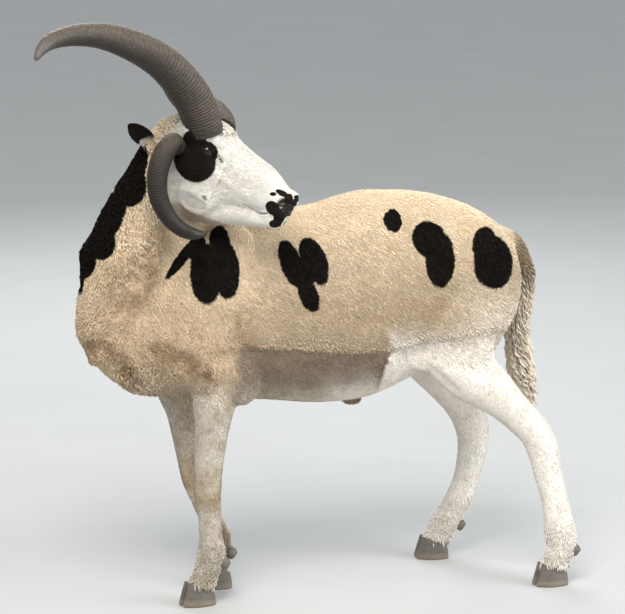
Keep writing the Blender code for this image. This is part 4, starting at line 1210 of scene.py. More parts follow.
def horn_tree():
    tree, start, end = new_tree(
        "ringed_horn",
        (("Rings", "Float"), ("Ring depth", "Float"), ("Steps", "Int"), ("Sides", "Int"),
         ("Finish", "Material")),
    )
    curve = tree_node(tree, "GeometryNodeMeshToCurve", None, {"Mesh": start.outputs["Geometry"]})
    even = tree_node(
        tree, "GeometryNodeResampleCurve", None, {"Curve": curve.outputs[0], "Count": start.outputs["Steps"]}
    )
    along = tree_node(tree, "GeometryNodeSplineParameter").outputs["Factor"]
    place = tree_node(tree, "GeometryNodeInputPosition").outputs[0]
    drift = node(tree, "ShaderNodeTexNoise", None, Vector=place, Scale=22.0, Detail=2.0).outputs[0]
    # rings crowd towards the foot: their count goes with the way along raised to the power 0.8
    eased = mathematics(tree, "POWER", along, 0.80)
    turns = times(tree, eased, start.outputs["Rings"])
    turns = mathematics(tree, "MULTIPLY_ADD", drift, 1.3, turns)
    wave = mathematics(tree, "FRACT", turns)
    wave = mathematics(tree, "PINGPONG", mathematics(tree, "POWER", wave, 0.7), 0.5)
    wave = mathematics(tree, "MULTIPLY_ADD", wave, 2.0, -0.6)
    fade = tree.nodes.new("ShaderNodeMapRange")
    tree.links.new(along, fade.inputs[0])
    for place_of, value in zip((1, 2, 3, 4), (0.50, 0.86, 1.0, 0.0)):
        fade.inputs[place_of].default_value = value
    wave = times(tree, wave, fade.outputs[0])
    swell = mathematics(tree, "MULTIPLY_ADD", wave, start.outputs["Ring depth"], 1.0)
    thick = tree_node(
        tree, "GeometryNodeInputNamedAttribute", {"data_type": "FLOAT"}, {"Name": "thick"}
    ).outputs["Attribute"]
    radius = times(tree, thick, swell)
    sized = tree_node(tree, "GeometryNodeSetCurveRadius", None, {"Curve": even.outputs[0], "Radius": radius})
    marked = tree_node(
        tree, "GeometryNodeStoreNamedAttribute", {"data_type": "FLOAT", "domain": "POINT"},
        {"Geometry": sized.outputs[0], "Name": "along", "Value": along},
    )
    circle = tree_node(
        tree, "GeometryNodeCurvePrimitiveCircle", None, {"Resolution": start.outputs["Sides"], "Radius": 1.0}
    )
    around = tree_node(tree, "GeometryNodeSplineParameter").outputs["Factor"]
    profile = tree_node(
        tree, "GeometryNodeStoreNamedAttribute", {"data_type": "FLOAT", "domain": "POINT"},
        {"Geometry": circle.outputs[0], "Name": "around", "Value": around},
    )
    swept = tree_node(
        tree, "GeometryNodeCurveToMesh", None,
        {"Curve": marked.outputs[0], "Profile Curve": profile.outputs[0], "Fill Caps": True},
    )
    if "Scale" in swept.inputs:
        size = tree_node(tree, "GeometryNodeInputRadius").outputs[0]
        tree.links.new(size, swept.inputs["Scale"])
    rough = node(tree, "ShaderNodeTexNoise", None, Vector=place, Scale=130.0, Detail=3.0).outputs[0]
    lift = mathematics(tree, "MULTIPLY_ADD", rough, 0.0016, -0.0008)
    normal = tree_node(tree, "GeometryNodeInputNormal").outputs[0]
    scaled = vector_math(tree, "SCALE", normal)
    tree.links.new(lift, scaled.inputs["Scale"])
    moved = tree_node(
        tree, "GeometryNodeSetPosition", None, {"Geometry": swept.outputs[0], "Offset": scaled.outputs[0]}
    )
    real = tree_node(tree, "GeometryNodeRealizeInstances", None, {"Geometry": moved.outputs[0]})
    smooth = tree_node(tree, "GeometryNodeSetShadeSmooth", None, {"Geometry": real.outputs[0]})
    return close_tree(tree, smooth, start, end)


RINGED_HORN = horn_tree()
print("horn tree with", len(RINGED_HORN.nodes), "nodes")

# %% Horn finish
HORN_FINISH, tree, shader, place = new_material("horn_keratin", 0.48)
shader.inputs["Specular IOR Level"].default_value = 0.36
along = attribute(tree, "along")
around = attribute(tree, "around")
turned = times(tree, around, 6.28318)
cosine = times(tree, mathematics(tree, "COSINE", turned), 1.2)
sine = times(tree, mathematics(tree, "SINE", turned), 1.2)
wrinkle = noise(tree, joined(tree, cosine, sine, times(tree, along, 26.0)), 3.6, 4.0, 0.65, 0.4)
blotch = noise(tree, place, 16.0, 3.0)
fibre = noise(tree, joined(tree, times(tree, around, 70.0), 0.0, times(tree, along, 5.0)), 1.0, 3.0)
normal = tree.nodes.new("ShaderNodeNewGeometry").outputs["Normal"]
# painted light and shade: the horn is lighter where its surface faces up and darker where it faces down,
# broken up by blotches
top = between(tree, mathematics(tree, "MULTIPLY_ADD", blotch, 0.8, split(tree, normal)[2]), -0.1, 1.1)
colour = mixed(tree, top, (0.020, 0.0145, 0.0105), (0.125, 0.100, 0.072))
# painted shade: the low parts of the wrinkles, which the bump makes into grooves, take a darker colour
deep = mixed(tree, 0.55, colour, (0.010, 0.008, 0.006))
colour = mixed(tree, between(tree, wrinkle, 0.36, 0.66), deep, colour)
colour = mixed(tree, times(tree, fibre, 0.22), colour, (0.15, 0.125, 0.095))
tip = between(tree, along, 0.80, 0.97)
colour = mixed(tree, times(tree, tip, 0.55), colour, (0.125, 0.110, 0.090))
# the horn colour is darkened lower down, so the lower horns come out darker
hanging = between(tree, split(tree, place)[2], 0.91, 0.77)
darker = mixed(tree, 1.0, colour, (0.26, 0.23, 0.21), "MULTIPLY")
colour = mixed(tree, hanging, colour, darker)
tree.links.new(colour, shader.inputs["Base Color"])
tree.links.new(between(tree, along, 0.55, 0.95, 0.55, 0.36), shader.inputs["Roughness"])
fading = between(tree, along, 0.55, 0.92, 1.0, 0.12)
height = times(tree, wrinkle, fading)
height = mathematics(tree, "MULTIPLY_ADD", fibre, 0.15, height)
add_bump(tree, shader, height, 0.0022, 0.9)
print("horn finish made")

# %% Horns
# Measured line, rings, depth of a ring, steps along and sides of each horn
HORNS = {
    "horn_upper_right": (HORN_UPPER_RIGHT, 66.0, 0.030, 560, 40),
    "horn_upper_left": (HORN_UPPER_LEFT, 54.0, 0.030, 460, 36),
    "horn_lower_right": (HORN_LOWER_RIGHT, 58.0, 0.030, 420, 30),
    "horn_lower_left": (HORN_LOWER_LEFT, 48.0, 0.030, 360, 30),
}
for name, (points, rings, depth, steps, sides) in HORNS.items():
    path = curve_through(points, 14)
    steps_along = np.linalg.norm(np.diff(path[:, :3], axis=0), axis=1)
    share = np.concatenate([[0.0], np.cumsum(steps_along)]) / steps_along.sum()
    thick = path[:, 3] * (1 - 0.75 * step(share, 0.985, 1.0))
    verts = [tuple(head_place @ Vector(p[:3])) for p in path]
    line = bpy.data.meshes.new(name)
    line.from_pydata(verts, [(i, i + 1) for i in range(len(verts) - 1)], [])
    set_float(line, "thick", thick)
    source = bpy.data.objects.new(name, line)
    work.objects.link(source)
    values = {"Rings": rings, "Ring depth": depth, "Steps": steps, "Sides": sides, "Finish": HORN_FINISH}
    horn = run_tree(source, RINGED_HORN, values, name + "_ringed")
    face_check = bmesh.new()
    face_check.from_mesh(horn.data)
    bmesh.ops.recalc_face_normals(face_check, faces=face_check.faces)
    face_check.to_mesh(horn.data)
    face_check.free()
    settle(horn)
    scene.collection.objects.link(horn)
    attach(horn, "root")
    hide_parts(name)
    print(name, len(horn.data.polygons), "faces")

# %% [markdown]
# A sheep's eye is a dark amber ball with a level slot for a pupil. The ball is built round the axis
# that it looks along, with the cornea raised, and carries the iris's own measures as attributes, so
# that the pattern turns with the eye and not with the world.

# %% Eyes
EYE_FINISH, tree, shader, place = new_material("eye_amber", 0.08)
shader.inputs["Specular IOR Level"].default_value = 0.35
shader.inputs["Coat Weight"].default_value = 0.35
shader.inputs["Coat Roughness"].default_value = 0.03
iris_ahead = attribute(tree, "iris_ahead")
iris_above = attribute(tree, "iris_above")
wide = mathematics(tree, "DIVIDE", iris_ahead, 0.0052)
tall = mathematics(tree, "DIVIDE", iris_above, 0.0021)
power_wide = mathematics(tree, "POWER", mathematics(tree, "ABSOLUTE", wide), 3.0)
power_tall = mathematics(tree, "POWER", mathematics(tree, "ABSOLUTE", tall), 3.0)
slot = mathematics(tree, "ADD", power_wide, power_tall)
squares = mathematics(
    tree, "ADD", times(tree, iris_ahead, iris_ahead),
    times(tree, iris_above, iris_above),
)
distance = mathematics(tree, "SQRT", squares)
angle = mathematics(tree, "ARCTAN2", iris_above, iris_ahead)
streaks = noise(tree, joined(tree, times(tree, angle, 9.0), times(tree, distance, 220.0)), 1.6, 3.0)
iris = mixed(tree, streaks, (0.010, 0.005, 0.002), (0.028, 0.013, 0.005))
iris = mixed(tree, between(tree, distance, 0.0070, 0.0088), iris, (0.006, 0.005, 0.004))
iris = mixed(tree, between(tree, slot, 0.7, 1.3), (0.002, 0.002, 0.003), iris)
tree.links.new(iris, shader.inputs["Base Color"])
for side, word in ((1, "left"), (-1, "right")):
    centre, out, nose, up = eye_frame(side)
    net = bmesh.new()
    bmesh.ops.create_uvsphere(net, u_segments=48, v_segments=32, radius=1.0)
    turn = Matrix((Vector(nose), Vector(np.cross(out, nose)), Vector(out))).transposed().to_4x4()
    ahead, above = [], []
    for vertex in net.verts:
        way = (turn @ vertex.co).normalized()
        facing = way.dot(Vector(out))
        bulge = 0.0006 * float(step(np.array(facing), 0.80, 0.97))
        reach = EYE_BALL - 0.0003 + bulge
        ahead.append(EYE_BALL * math.atan2(way.dot(Vector(nose)), facing))
        above.append(EYE_BALL * math.atan2(way.dot(Vector(up)), facing))
        vertex.co = head_place @ (Vector(centre) + way * reach)
    bmesh.ops.recalc_face_normals(net, faces=net.faces)
    mesh = bpy.data.meshes.new("eye_ball")
    net.to_mesh(mesh)
    net.free()
    set_float(mesh, "iris_ahead", ahead)
    set_float(mesh, "iris_above", above)
    mesh.polygons.foreach_set("use_smooth", [True] * len(mesh.polygons))
    mesh.materials.append(EYE_FINISH)
    eye = bpy.data.objects.new(f"eye_{word}_ball", mesh)
    scene.collection.objects.link(eye)
    settle(eye)
    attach(eye, "root")
    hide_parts("eye_" + word)
print("two eyes looking along their own axes")

# %% [markdown]
# Each foot has two claws of dark horn with growth lines that run level with the hair line, and two
# dewclaws behind. The claw is a loft between the sole and the hair line, in many thin courses, and
# each course is let out or drawn in a little for its growth line.

# %% Hooves and dewclaws
GAP = 0.0003  # between a claw and the skin over it
HOOF_FINISH, tree, shader, place = new_material("hoof_horn", 0.55)
cloud = noise(tree, place, 60.0, 4.0)
bands = node(tree, "ShaderNodeMapping", None, Vector=place, Scale=(14.0, 14.0, 190.0)).outputs[0]
growth = noise(tree, bands, 1.0, 3.0)
colour = mixed(tree, cloud, (0.055, 0.048, 0.040), (0.16, 0.14, 0.115))
colour = mixed(tree, times(tree, growth, 0.5), colour, (0.20, 0.18, 0.15))
low = between(tree, mathematics(tree, "MULTIPLY_ADD", cloud, -0.012, split(tree, place)[2]), 0.012, -0.002)
colour = mixed(tree, times(tree, low, 0.7), colour, (0.24, 0.20, 0.14))
tree.links.new(colour, shader.inputs["Base Color"])
relief = mathematics(tree, "ADD", growth, times(tree, cloud, 0.6))
add_bump(tree, shader, relief, 0.0012, 0.8)


def make_claw(name, hoof, side):
    """One claw: flat under, straight inside, its top following the hair line."""
    (x, y), toe_out = HOOVES[hoof]
    turn = math.radians(toe_out)
    ahead = np.array((-math.cos(turn), -math.sin(turn), 0.0))
    beside = np.array((math.sin(turn), -math.cos(turn), 0.0)) * side
    keys = ((0.0, 0.0320, 0.0265, 0.0225), (0.10, 0.0345, 0.0285, 0.0240),
            (0.50, 0.0290, 0.0275, 0.0235), (1.0, 0.0225, 0.0245, 0.0220))
    keys = np.array(keys)
    rings = []
    for i, share in enumerate(np.linspace(0.0, 1.0, 29)):
        front, back, wide = (np.interp(share, keys[:, 0], keys[:, k]) for k in (1, 2, 3))
        growth = 1.0 - 0.010 * (i % 3 == 1) * min(1.0, share * 6)
        ring = []
        for px, py, _ in oval((0, 0, 0), (1, 0, 0), (0, 1, 0), 2.4, 40):
            forward = px * (front if px > 0 else back) * growth
            taper = 1.0 - 0.42 * max(0.0, px) ** 2
            out = CLAW_GAP / 2 + wide * (1 + py * growth) / 2 * taper
            top = CORONET + CORONET_RISE * forward - GAP
            point = np.array((x, y, 0.0)) + ahead * forward + beside * out
            point[2] = share * top
            ring.append(point)
        rings.append(ring)
    return skin_rings(name, rings, scene.collection)


for hoof in HOOVES:
    for side, word in ((1, "a"), (-1, "b")):
        claw = make_claw(f"claw_{hoof}_{word}", hoof, side)
        x, y, z = DEWCLAWS[hoof]
        centre = (x, y + 0.0115 * side, z)
        dew = ball(f"dewclaw_horn_{hoof}_{word}", centre, DEWCLAW_RADII, scene.collection, 20, None, 22)
        for vertex in dew.data.vertices:
            rise = vertex.co.z - z
            narrow = 1.0 - 0.45 * max(0.0, -rise / DEWCLAW_RADII[2]) ** 1.5
            vertex.co.x = x + (vertex.co.x - x) * narrow
            vertex.co.y = centre[1] + (vertex.co.y - centre[1]) * narrow
            vertex.co.x += 0.0006 * math.sin(rise * 1900.0) * (vertex.co.x > x)
        for piece, stands_for in ((claw, f"hoof_{hoof}_{word}"), (dew, f"dewclaw_{hoof}_{word}")):
            piece.data.materials.append(HOOF_FINISH)
            piece.data.polygons.foreach_set("use_smooth", [True] * len(piece.data.polygons))
            settle(piece)
            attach(piece, "root")
            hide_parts(stands_for)
print("eight claws and eight dewclaws")

# %% [markdown]
# The markings are the heart of this breed: near-black islands in cream wool and on a white face.
# Skin and coat must agree, so both read one shader group. It measures how far a point is from a
# set of ellipsoids in the ram's own space, wobbled by noise for the ragged edge, and lays over it
# the cream with painted light along the back and painted shade lower down, the grey belly darkened
# by painted shade under the body, the white legs and face, the stains of dirt and lanolin, and
# painted shade in the coat's creases and along the mouth line and nostrils.

# %% The group of markings
VIEW_TURN = math.radians(-18)

# Islands of black: middle, half sizes along the flank, through it and up it, roll in degrees
ISLANDS = (
    # shoulder, with the strip that runs up to the throat
    ((-0.188, -0.120, 0.616), (0.0282, 0.05, 0.0545), 2),
    ((-0.154, -0.128, 0.621), (0.0250, 0.05, 0.0520), 6),
    ((-0.161, -0.112, 0.667), (0.0191, 0.05, 0.0345), 12),
    ((-0.199, -0.095, 0.659), (0.0145, 0.05, 0.0218), -35),
    ((-0.225, -0.099, 0.642), (0.0087, 0.05, 0.0473), -39),
    # ribs: two lobes that lean together and a third below them
    ((-0.033, -0.125, 0.627), (0.0191, 0.05, 0.0473), 22),
    ((0.008, -0.129, 0.631), (0.0218, 0.05, 0.0473), 22),
    ((-0.008, -0.145, 0.573), (0.0164, 0.05, 0.0345), 22),
    ((-0.012, -0.135, 0.608), (0.0270, 0.05, 0.0250), 15),
    # loin, haunch and rump
    ((0.164, -0.108, 0.691), (0.0164, 0.05, 0.0200), 14),
    ((0.225, -0.129, 0.660), (0.0300, 0.05, 0.0345), 0),
    ((0.245, -0.136, 0.620), (0.0282, 0.05, 0.0500), 0),
    ((0.336, -0.123, 0.639), (0.0245, 0.06, 0.0345), 0),
    ((0.352, -0.128, 0.610), (0.0400, 0.06, 0.0500), 8),
    # stripe down the nape and the front of the turned neck
    ((-0.299, -0.075, 0.810), (0.0185, 0.10, 0.0440), -12),
    ((-0.314, -0.075, 0.768), (0.0320, 0.10, 0.0350), -20),
    ((-0.350, -0.060, 0.712), (0.0275, 0.10, 0.0520), -28),
    ((-0.365, -0.050, 0.668), (0.0320, 0.10, 0.0310), -20),
    ((-0.384, -0.026, 0.631), (0.0200, 0.10, 0.0400), -22),
    ((-0.392, -0.015, 0.592), (0.0100, 0.08, 0.0300), -5),
    # far side
    ((-0.120, 0.150, 0.610), (0.060, 0.06, 0.048), 14),
    ((0.045, 0.165, 0.560), (0.036, 0.05, 0.060), -20),
    ((0.125, 0.140, 0.660), (0.042, 0.05, 0.030), 10),
    ((0.290, 0.130, 0.610), (0.050, 0.06, 0.058), -16),
    ((0.330, 0.120, 0.520), (0.020, 0.05, 0.034), 0),
    ((-0.030, 0.110, 0.690), (0.020, 0.05, 0.016), 0),
)


def island_distance(tree, vector, middle, sizes, turn):
    """Distance from an ellipsoid's middle, 1 on its surface."""
    inside = node(
        tree, "ShaderNodeMapping", {"vector_type": "TEXTURE"}, Vector=vector, Location=middle,
        Rotation=turn, Scale=sizes,
    )
    return vector_math(tree, "LENGTH", inside.outputs[0]).outputs["Value"]


def nearest(tree, distances):
    best = distances[0]
    for other in distances[1:]:
        best = mathematics(tree, "SMOOTH_MIN", best, other, 0.10)
    return best


def wobbled(tree, vector, scale, reach):
    """The vector, pushed about by a noise of this scale and reach."""
    cloud = node(tree, "ShaderNodeTexNoise", None, Vector=vector, Scale=scale, Detail=3.0, Roughness=0.6)
    centred = vector_math(tree, "SUBTRACT", cloud.outputs["Color"], (0.5, 0.5, 0.5))
    return vector_math(tree, "MULTIPLY_ADD", centred.outputs[0], (reach,) * 3, vector).outputs[0]


HEAD_TURN = tuple(head_place.to_euler())
HEAD_MIDDLE = Vector(HEAD_AT) + Vector(SHIFT)


def on_head(ahead, left, above):
    """A place in the head's frame as a point of the finished ram."""
    return tuple(head_place @ Vector((ahead, left, above)) + Vector(SHIFT))


# The same for the head, in its own frame: ahead, left, above, half sizes, pitch in degrees
HEAD_ISLANDS = (
    ((0.047, -0.058, 0.021), (0.040, 0.050, 0.0365), 0),
    ((0.034, -0.059, 0.046), (0.022, 0.046, 0.028), 0),
    ((0.060, -0.054, 0.044), (0.020, 0.040, 0.019), 0),
    ((0.040, 0.055, 0.026), (0.038, 0.050, 0.030), 14),
    ((0.052, 0.052, 0.052), (0.026, 0.044, 0.024), 0),
)
MUZZLE_ISLANDS = (
    ((0.203, -0.031, 0.008), (0.0136, 0.014, 0.0125), 0),  # blot on the upper lip
    ((0.216, -0.026, 0.003), (0.0118, 0.014, 0.0090), 0),
    ((0.222, -0.017, -0.004), (0.0127, 0.015, 0.0115), 0),  # lower lip
    ((0.216, -0.014, -0.016), (0.0110, 0.014, 0.0080), 20),
    ((0.207, -0.027, 0.039), (0.0125, 0.012, 0.0050), 0),  # nostril
    ((0.222, -0.024, 0.036), (0.0078, 0.012, 0.0098), 0),
    ((0.228, 0.002, 0.032), (0.0070, 0.016, 0.0075), 0),
    ((0.194, -0.031, 0.031), (0.0060, 0.010, 0.0035), 30),
    ((0.221, 0.016, 0.036), (0.0120, 0.012, 0.0060), 20),
    ((0.212, 0.022, 0.000), (0.0120, 0.012, 0.0090), 0),
    ((0.214, 0.012, -0.014), (0.0120, 0.014, 0.0090), 20),
)


def markings_group():
    tree = bpy.data.node_groups.new("markings", "ShaderNodeTree")
    for label, kind in (("Colour", "Color"), ("Dark", "Float")):
        tree.interface.new_socket(label, in_out="OUTPUT", socket_type="NodeSocket" + kind)
    end = tree.nodes.new("NodeGroupOutput")
    place = tree.nodes.new("ShaderNodeTexCoord").outputs["Object"]
    face = attribute(tree, "face")
    leg = attribute(tree, "leg")
    belly = attribute(tree, "belly")
    pale = attribute(tree, "pale")
    ear = attribute(tree, "ear")

    coarse = wobbled(tree, wobbled(tree, place, 34.0, 0.0085), 170.0, 0.0075)
    fine = wobbled(tree, place, 130.0, 0.0060)
    finest = wobbled(tree, place, 260.0, 0.0022)
    found = [
        island_distance(tree, coarse, middle, sizes, (0.0, math.radians(-roll), VIEW_TURN))
        for middle, sizes, roll in ISLANDS
    ]
    body_dark = between(tree, nearest(tree, found), 1.07, 0.95)
    body_dark = times(tree, body_dark, mathematics(tree, "SUBTRACT", 1.0, face))
    heads = []
    for table, vector in ((HEAD_ISLANDS, fine), (MUZZLE_ISLANDS, finest)):
        for middle, sizes, pitch in table:
            turn = head_place.to_3x3() @ Matrix.Rotation(math.radians(-pitch), 3, "Y")
            heads.append(island_distance(tree, vector, on_head(*middle), sizes, tuple(turn.to_euler())))
    head_dark = between(tree, nearest(tree, heads), 1.05, 0.95)
    head_dark = times(tree, head_dark, face)
    # the dark lines join the markings here; along the mouth line and the nostrils they are painted shade
    groove = attribute(tree, "groove")
    head_dark = mathematics(tree, "MAXIMUM", head_dark, groove)
    ear_light = island_distance(tree, fine, on_head(-0.040, -0.066, 0.008), (0.015, 0.018, 0.012), HEAD_TURN)
    ear_dark = times(tree, ear, between(tree, ear_light, 0.8, 1.1, 0.25, 1.0))
    dark = mathematics(tree, "MAXIMUM", mathematics(tree, "MAXIMUM", body_dark, head_dark), ear_dark)

    # cream wool, lighter along the back and darker below: painted light on the back and painted shade lower
    # down
    x, _, z = split(tree, place)
    large = noise(tree, place, 7.0, 4.0)
    middling = noise(tree, place, 34.0, 4.0, 0.65)
    small = noise(tree, place, 150.0, 3.0, 0.7)
    height = mathematics(tree, "MULTIPLY_ADD", large, 0.16, z)
    wool = mixed(tree, between(tree, height, 0.52, 0.82), (0.76, 0.600, 0.420), (0.90, 0.735, 0.515))
    # painted shade: behind the shoulder the wool is greyed and darkened, fully low on the trunk and only a
    # little on the back
    trunk = times(tree, between(tree, x, -0.16, -0.03), between(tree, height, 0.80, 0.62, 0.15, 1.0))
    wool = mixed(tree, times(tree, between(tree, middling, 0.42, 0.68), 0.55), wool, (0.80, 0.69, 0.535))
    wool = mixed(tree, times(tree, between(tree, small, 0.52, 0.78), 0.30), wool, (0.40, 0.27, 0.145))
    wool = mixed(tree, trunk, wool, mixed(tree, 1.0, wool, (0.74, 0.73, 0.71), "MULTIPLY"))
    # lanolin and dirt on shoulder and neck; the low chest round the elbows is made a darker brown
    front = times(tree, between(tree, x, -0.02, -0.24), between(tree, height, 0.76, 0.56))
    tan = times(tree, front, between(tree, middling, 0.34, 0.62))
    wool = mixed(tree, times(tree, tan, 0.24), wool, (0.48, 0.31, 0.145))
    skirt = times(tree, between(tree, height, 0.52, 0.44), between(tree, x, -0.14, -0.26))
    wool = mixed(tree, times(tree, skirt, 0.55), wool, (0.22, 0.145, 0.085))
    rear = times(tree, between(tree, x, 0.24, 0.34), between(tree, z, 0.60, 0.50))
    wool = mixed(tree, times(tree, rear, 0.75), wool, (0.86, 0.77, 0.65))
    tail = times(tree, between(tree, x, 0.425, 0.445), between(tree, height, 0.58, 0.66))
    wool = mixed(tree, times(tree, tail, 0.7), wool, (0.15, 0.10, 0.05))
    # painted shade in the coat's creases, together with the lanolin and dirt that gather there: a dark brown
    # along the crease lines
    crease_shade_and_stain = attribute(tree, "crease_shade_and_stain")
    dirt_and_crease_shade = times(tree, crease_shade_and_stain, between(tree, middling, 0.30, 0.60))
    wool = mixed(tree, times(tree, dirt_and_crease_shade, 0.85), wool, (0.27, 0.155, 0.070))
    # painted shade: the belly below the fleece's edge takes a dark brownish grey, for the shade under the
    # body
    flank = mixed(tree, middling, (0.24, 0.17, 0.115), (0.38, 0.30, 0.23))
    wool = mixed(tree, belly, wool, flank)
    # white legs, dirtier at the knees, and a white face with a dark brown bloom on the muzzle
    shin = mixed(tree, between(tree, middling, 0.40, 0.66), (0.64, 0.585, 0.505), (0.50, 0.43, 0.34))
    hind = mixed(tree, between(tree, middling, 0.40, 0.70), (0.93, 0.88, 0.81), (0.82, 0.76, 0.67))
    shin = mixed(tree, between(tree, x, 0.00, 0.10), shin, hind)
    knee = times(tree, between(tree, z, 0.16, 0.20), between(tree, z, 0.27, 0.22))
    knee = times(tree, knee, between(tree, x, -0.05, -0.15))
    shin = mixed(tree, times(tree, knee, times(tree, middling, 1.1)), shin, (0.34, 0.24, 0.11))
    fetlock = between(tree, height, 0.17, 0.10)
    shin = mixed(tree, times(tree, fetlock, 0.22), shin, (0.40, 0.33, 0.24))
    white = mixed(tree, between(tree, middling, 0.40, 0.70), (0.80, 0.77, 0.705), (0.72, 0.685, 0.63))
    under = noise(tree, fine, 12.0, 2.0)
    jaw = island_distance(tree, fine, on_head(0.085, 0.0, -0.088), (0.115, 0.06, 0.030), HEAD_TURN)
    white = mixed(tree, times(tree, between(tree, jaw, 1.2, 0.8), 0.75), white, (0.30, 0.21, 0.12))
    foot = island_distance(tree, fine, on_head(0.040, 0.0, 0.105), (0.052, 0.085, 0.030), HEAD_TURN)
    crust = times(tree, between(tree, foot, 1.15, 0.85), between(tree, small, 0.40, 0.62))
    white = mixed(tree, times(tree, crust, 0.8), white, (0.30, 0.20, 0.085))
    poll = island_distance(tree, fine, on_head(-0.040, 0.0, 0.055), (0.045, 0.075, 0.050), HEAD_TURN)
    white = mixed(tree, times(tree, between(tree, poll, 1.2, 0.8), under), white, (0.62, 0.46, 0.26))
    paled = mathematics(tree, "MULTIPLY_ADD", large, 0.5, pale)
    colour = mixed(tree, between(tree, paled, 0.30, 1.10), wool, shin)
    colour = mixed(tree, face, colour, white)
    bloom = island_distance(tree, finest, on_head(0.222, -0.018, 0.019), (0.018, 0.027, 0.019), HEAD_TURN)
    bloom = times(tree, between(tree, bloom, 1.10, 0.80), between(tree, small, 0.22, 0.46))
    colour = mixed(tree, bloom, colour, (0.026, 0.018, 0.014))
    black = mixed(tree, middling, (0.0045, 0.0032, 0.0024), (0.010, 0.0072, 0.0052))
    colour = mixed(tree, dark, colour, black)
    tree.links.new(colour, end.inputs["Colour"])
    tree.links.new(dark, end.inputs["Dark"])
    return tree


MARKINGS = markings_group()
print("markings group with", len(MARKINGS.nodes), "nodes")

# %% [markdown]
# The coat is thousands of small solid tufts. A node tree scatters roots over the skin, evenly but
# not in rows, turns each tuft down the coat's lie, and scales it by the length that the hair has
# there: shorn wool of 6 or 7 mm on the body, more on the nape, the brisket and the tail, and about
# 4 mm on face and legs. A short tuft has six triangles, and a long lock of the tail has twelve.

# %% Tuft shapes
TUFT_KINDS = 6
BAKE_PATCH = 0.003  # side of a tuft's patch on the bake map, round its root's place
SHORT_TUFTS = bpy.data.collections.new("short_tufts")
LONG_LOCKS = bpy.data.collections.new("long_locks")
work.children.link(SHORT_TUFTS)
work.children.link(LONG_LOCKS)
draw = np.random.default_rng(11)


def make_tuft(rings, tip, sway, shapes):
    """A closed blade one unit long, three-sided: it rises from a point, bends over and ends in a point."""
    verts = [(-0.08, 0.0, -0.12)]
    for share, wide, lift in rings:
        x, y, z = share, sway * share * share, lift
        verts += [(x, y + 0.5 * wide, z), (x, y, z + 0.42 * wide), (x, y - 0.5 * wide, z)]
    verts.append((1.0, sway * 1.3, tip))
    last = len(verts) - 1
    faces = [(0, 1 + (j + 1) % 3, 1 + j) for j in range(3)]
    for i in range(len(rings) - 1):
        low, high = 1 + 3 * i, 4 + 3 * i
        for j in range(3):
            k = (j + 1) % 3
            faces += [(low + j, low + k, high + k), (low + j, high + k, high + j)]
    faces += [(last - 3 + j, last - 3 + (j + 1) % 3, last) for j in range(3)]
    made = mesh_object("tuft", verts, faces, shapes)
    face_out(made)
    set_vector(made.data, "blade", [(max(0.0, min(1.0, v[0])), 0.5 + v[1] / 1.4, 0.0) for v in verts])
    return made


for _ in range(TUFT_KINDS):
    bend, sway = draw.uniform(-0.05, 0.08), draw.uniform(-0.28, 0.28)
    make_tuft(((0.36, 1.0, 0.13 + bend),), 0.16 + 1.2 * bend, sway, SHORT_TUFTS)
    make_tuft(((0.22, 0.85, 0.10 + bend), (0.62, 0.90, 0.24 + bend)), 0.10 + 1.4 * bend, sway, LONG_LOCKS)
print("six short tufts and six long locks")

# %% Node tree for the coat


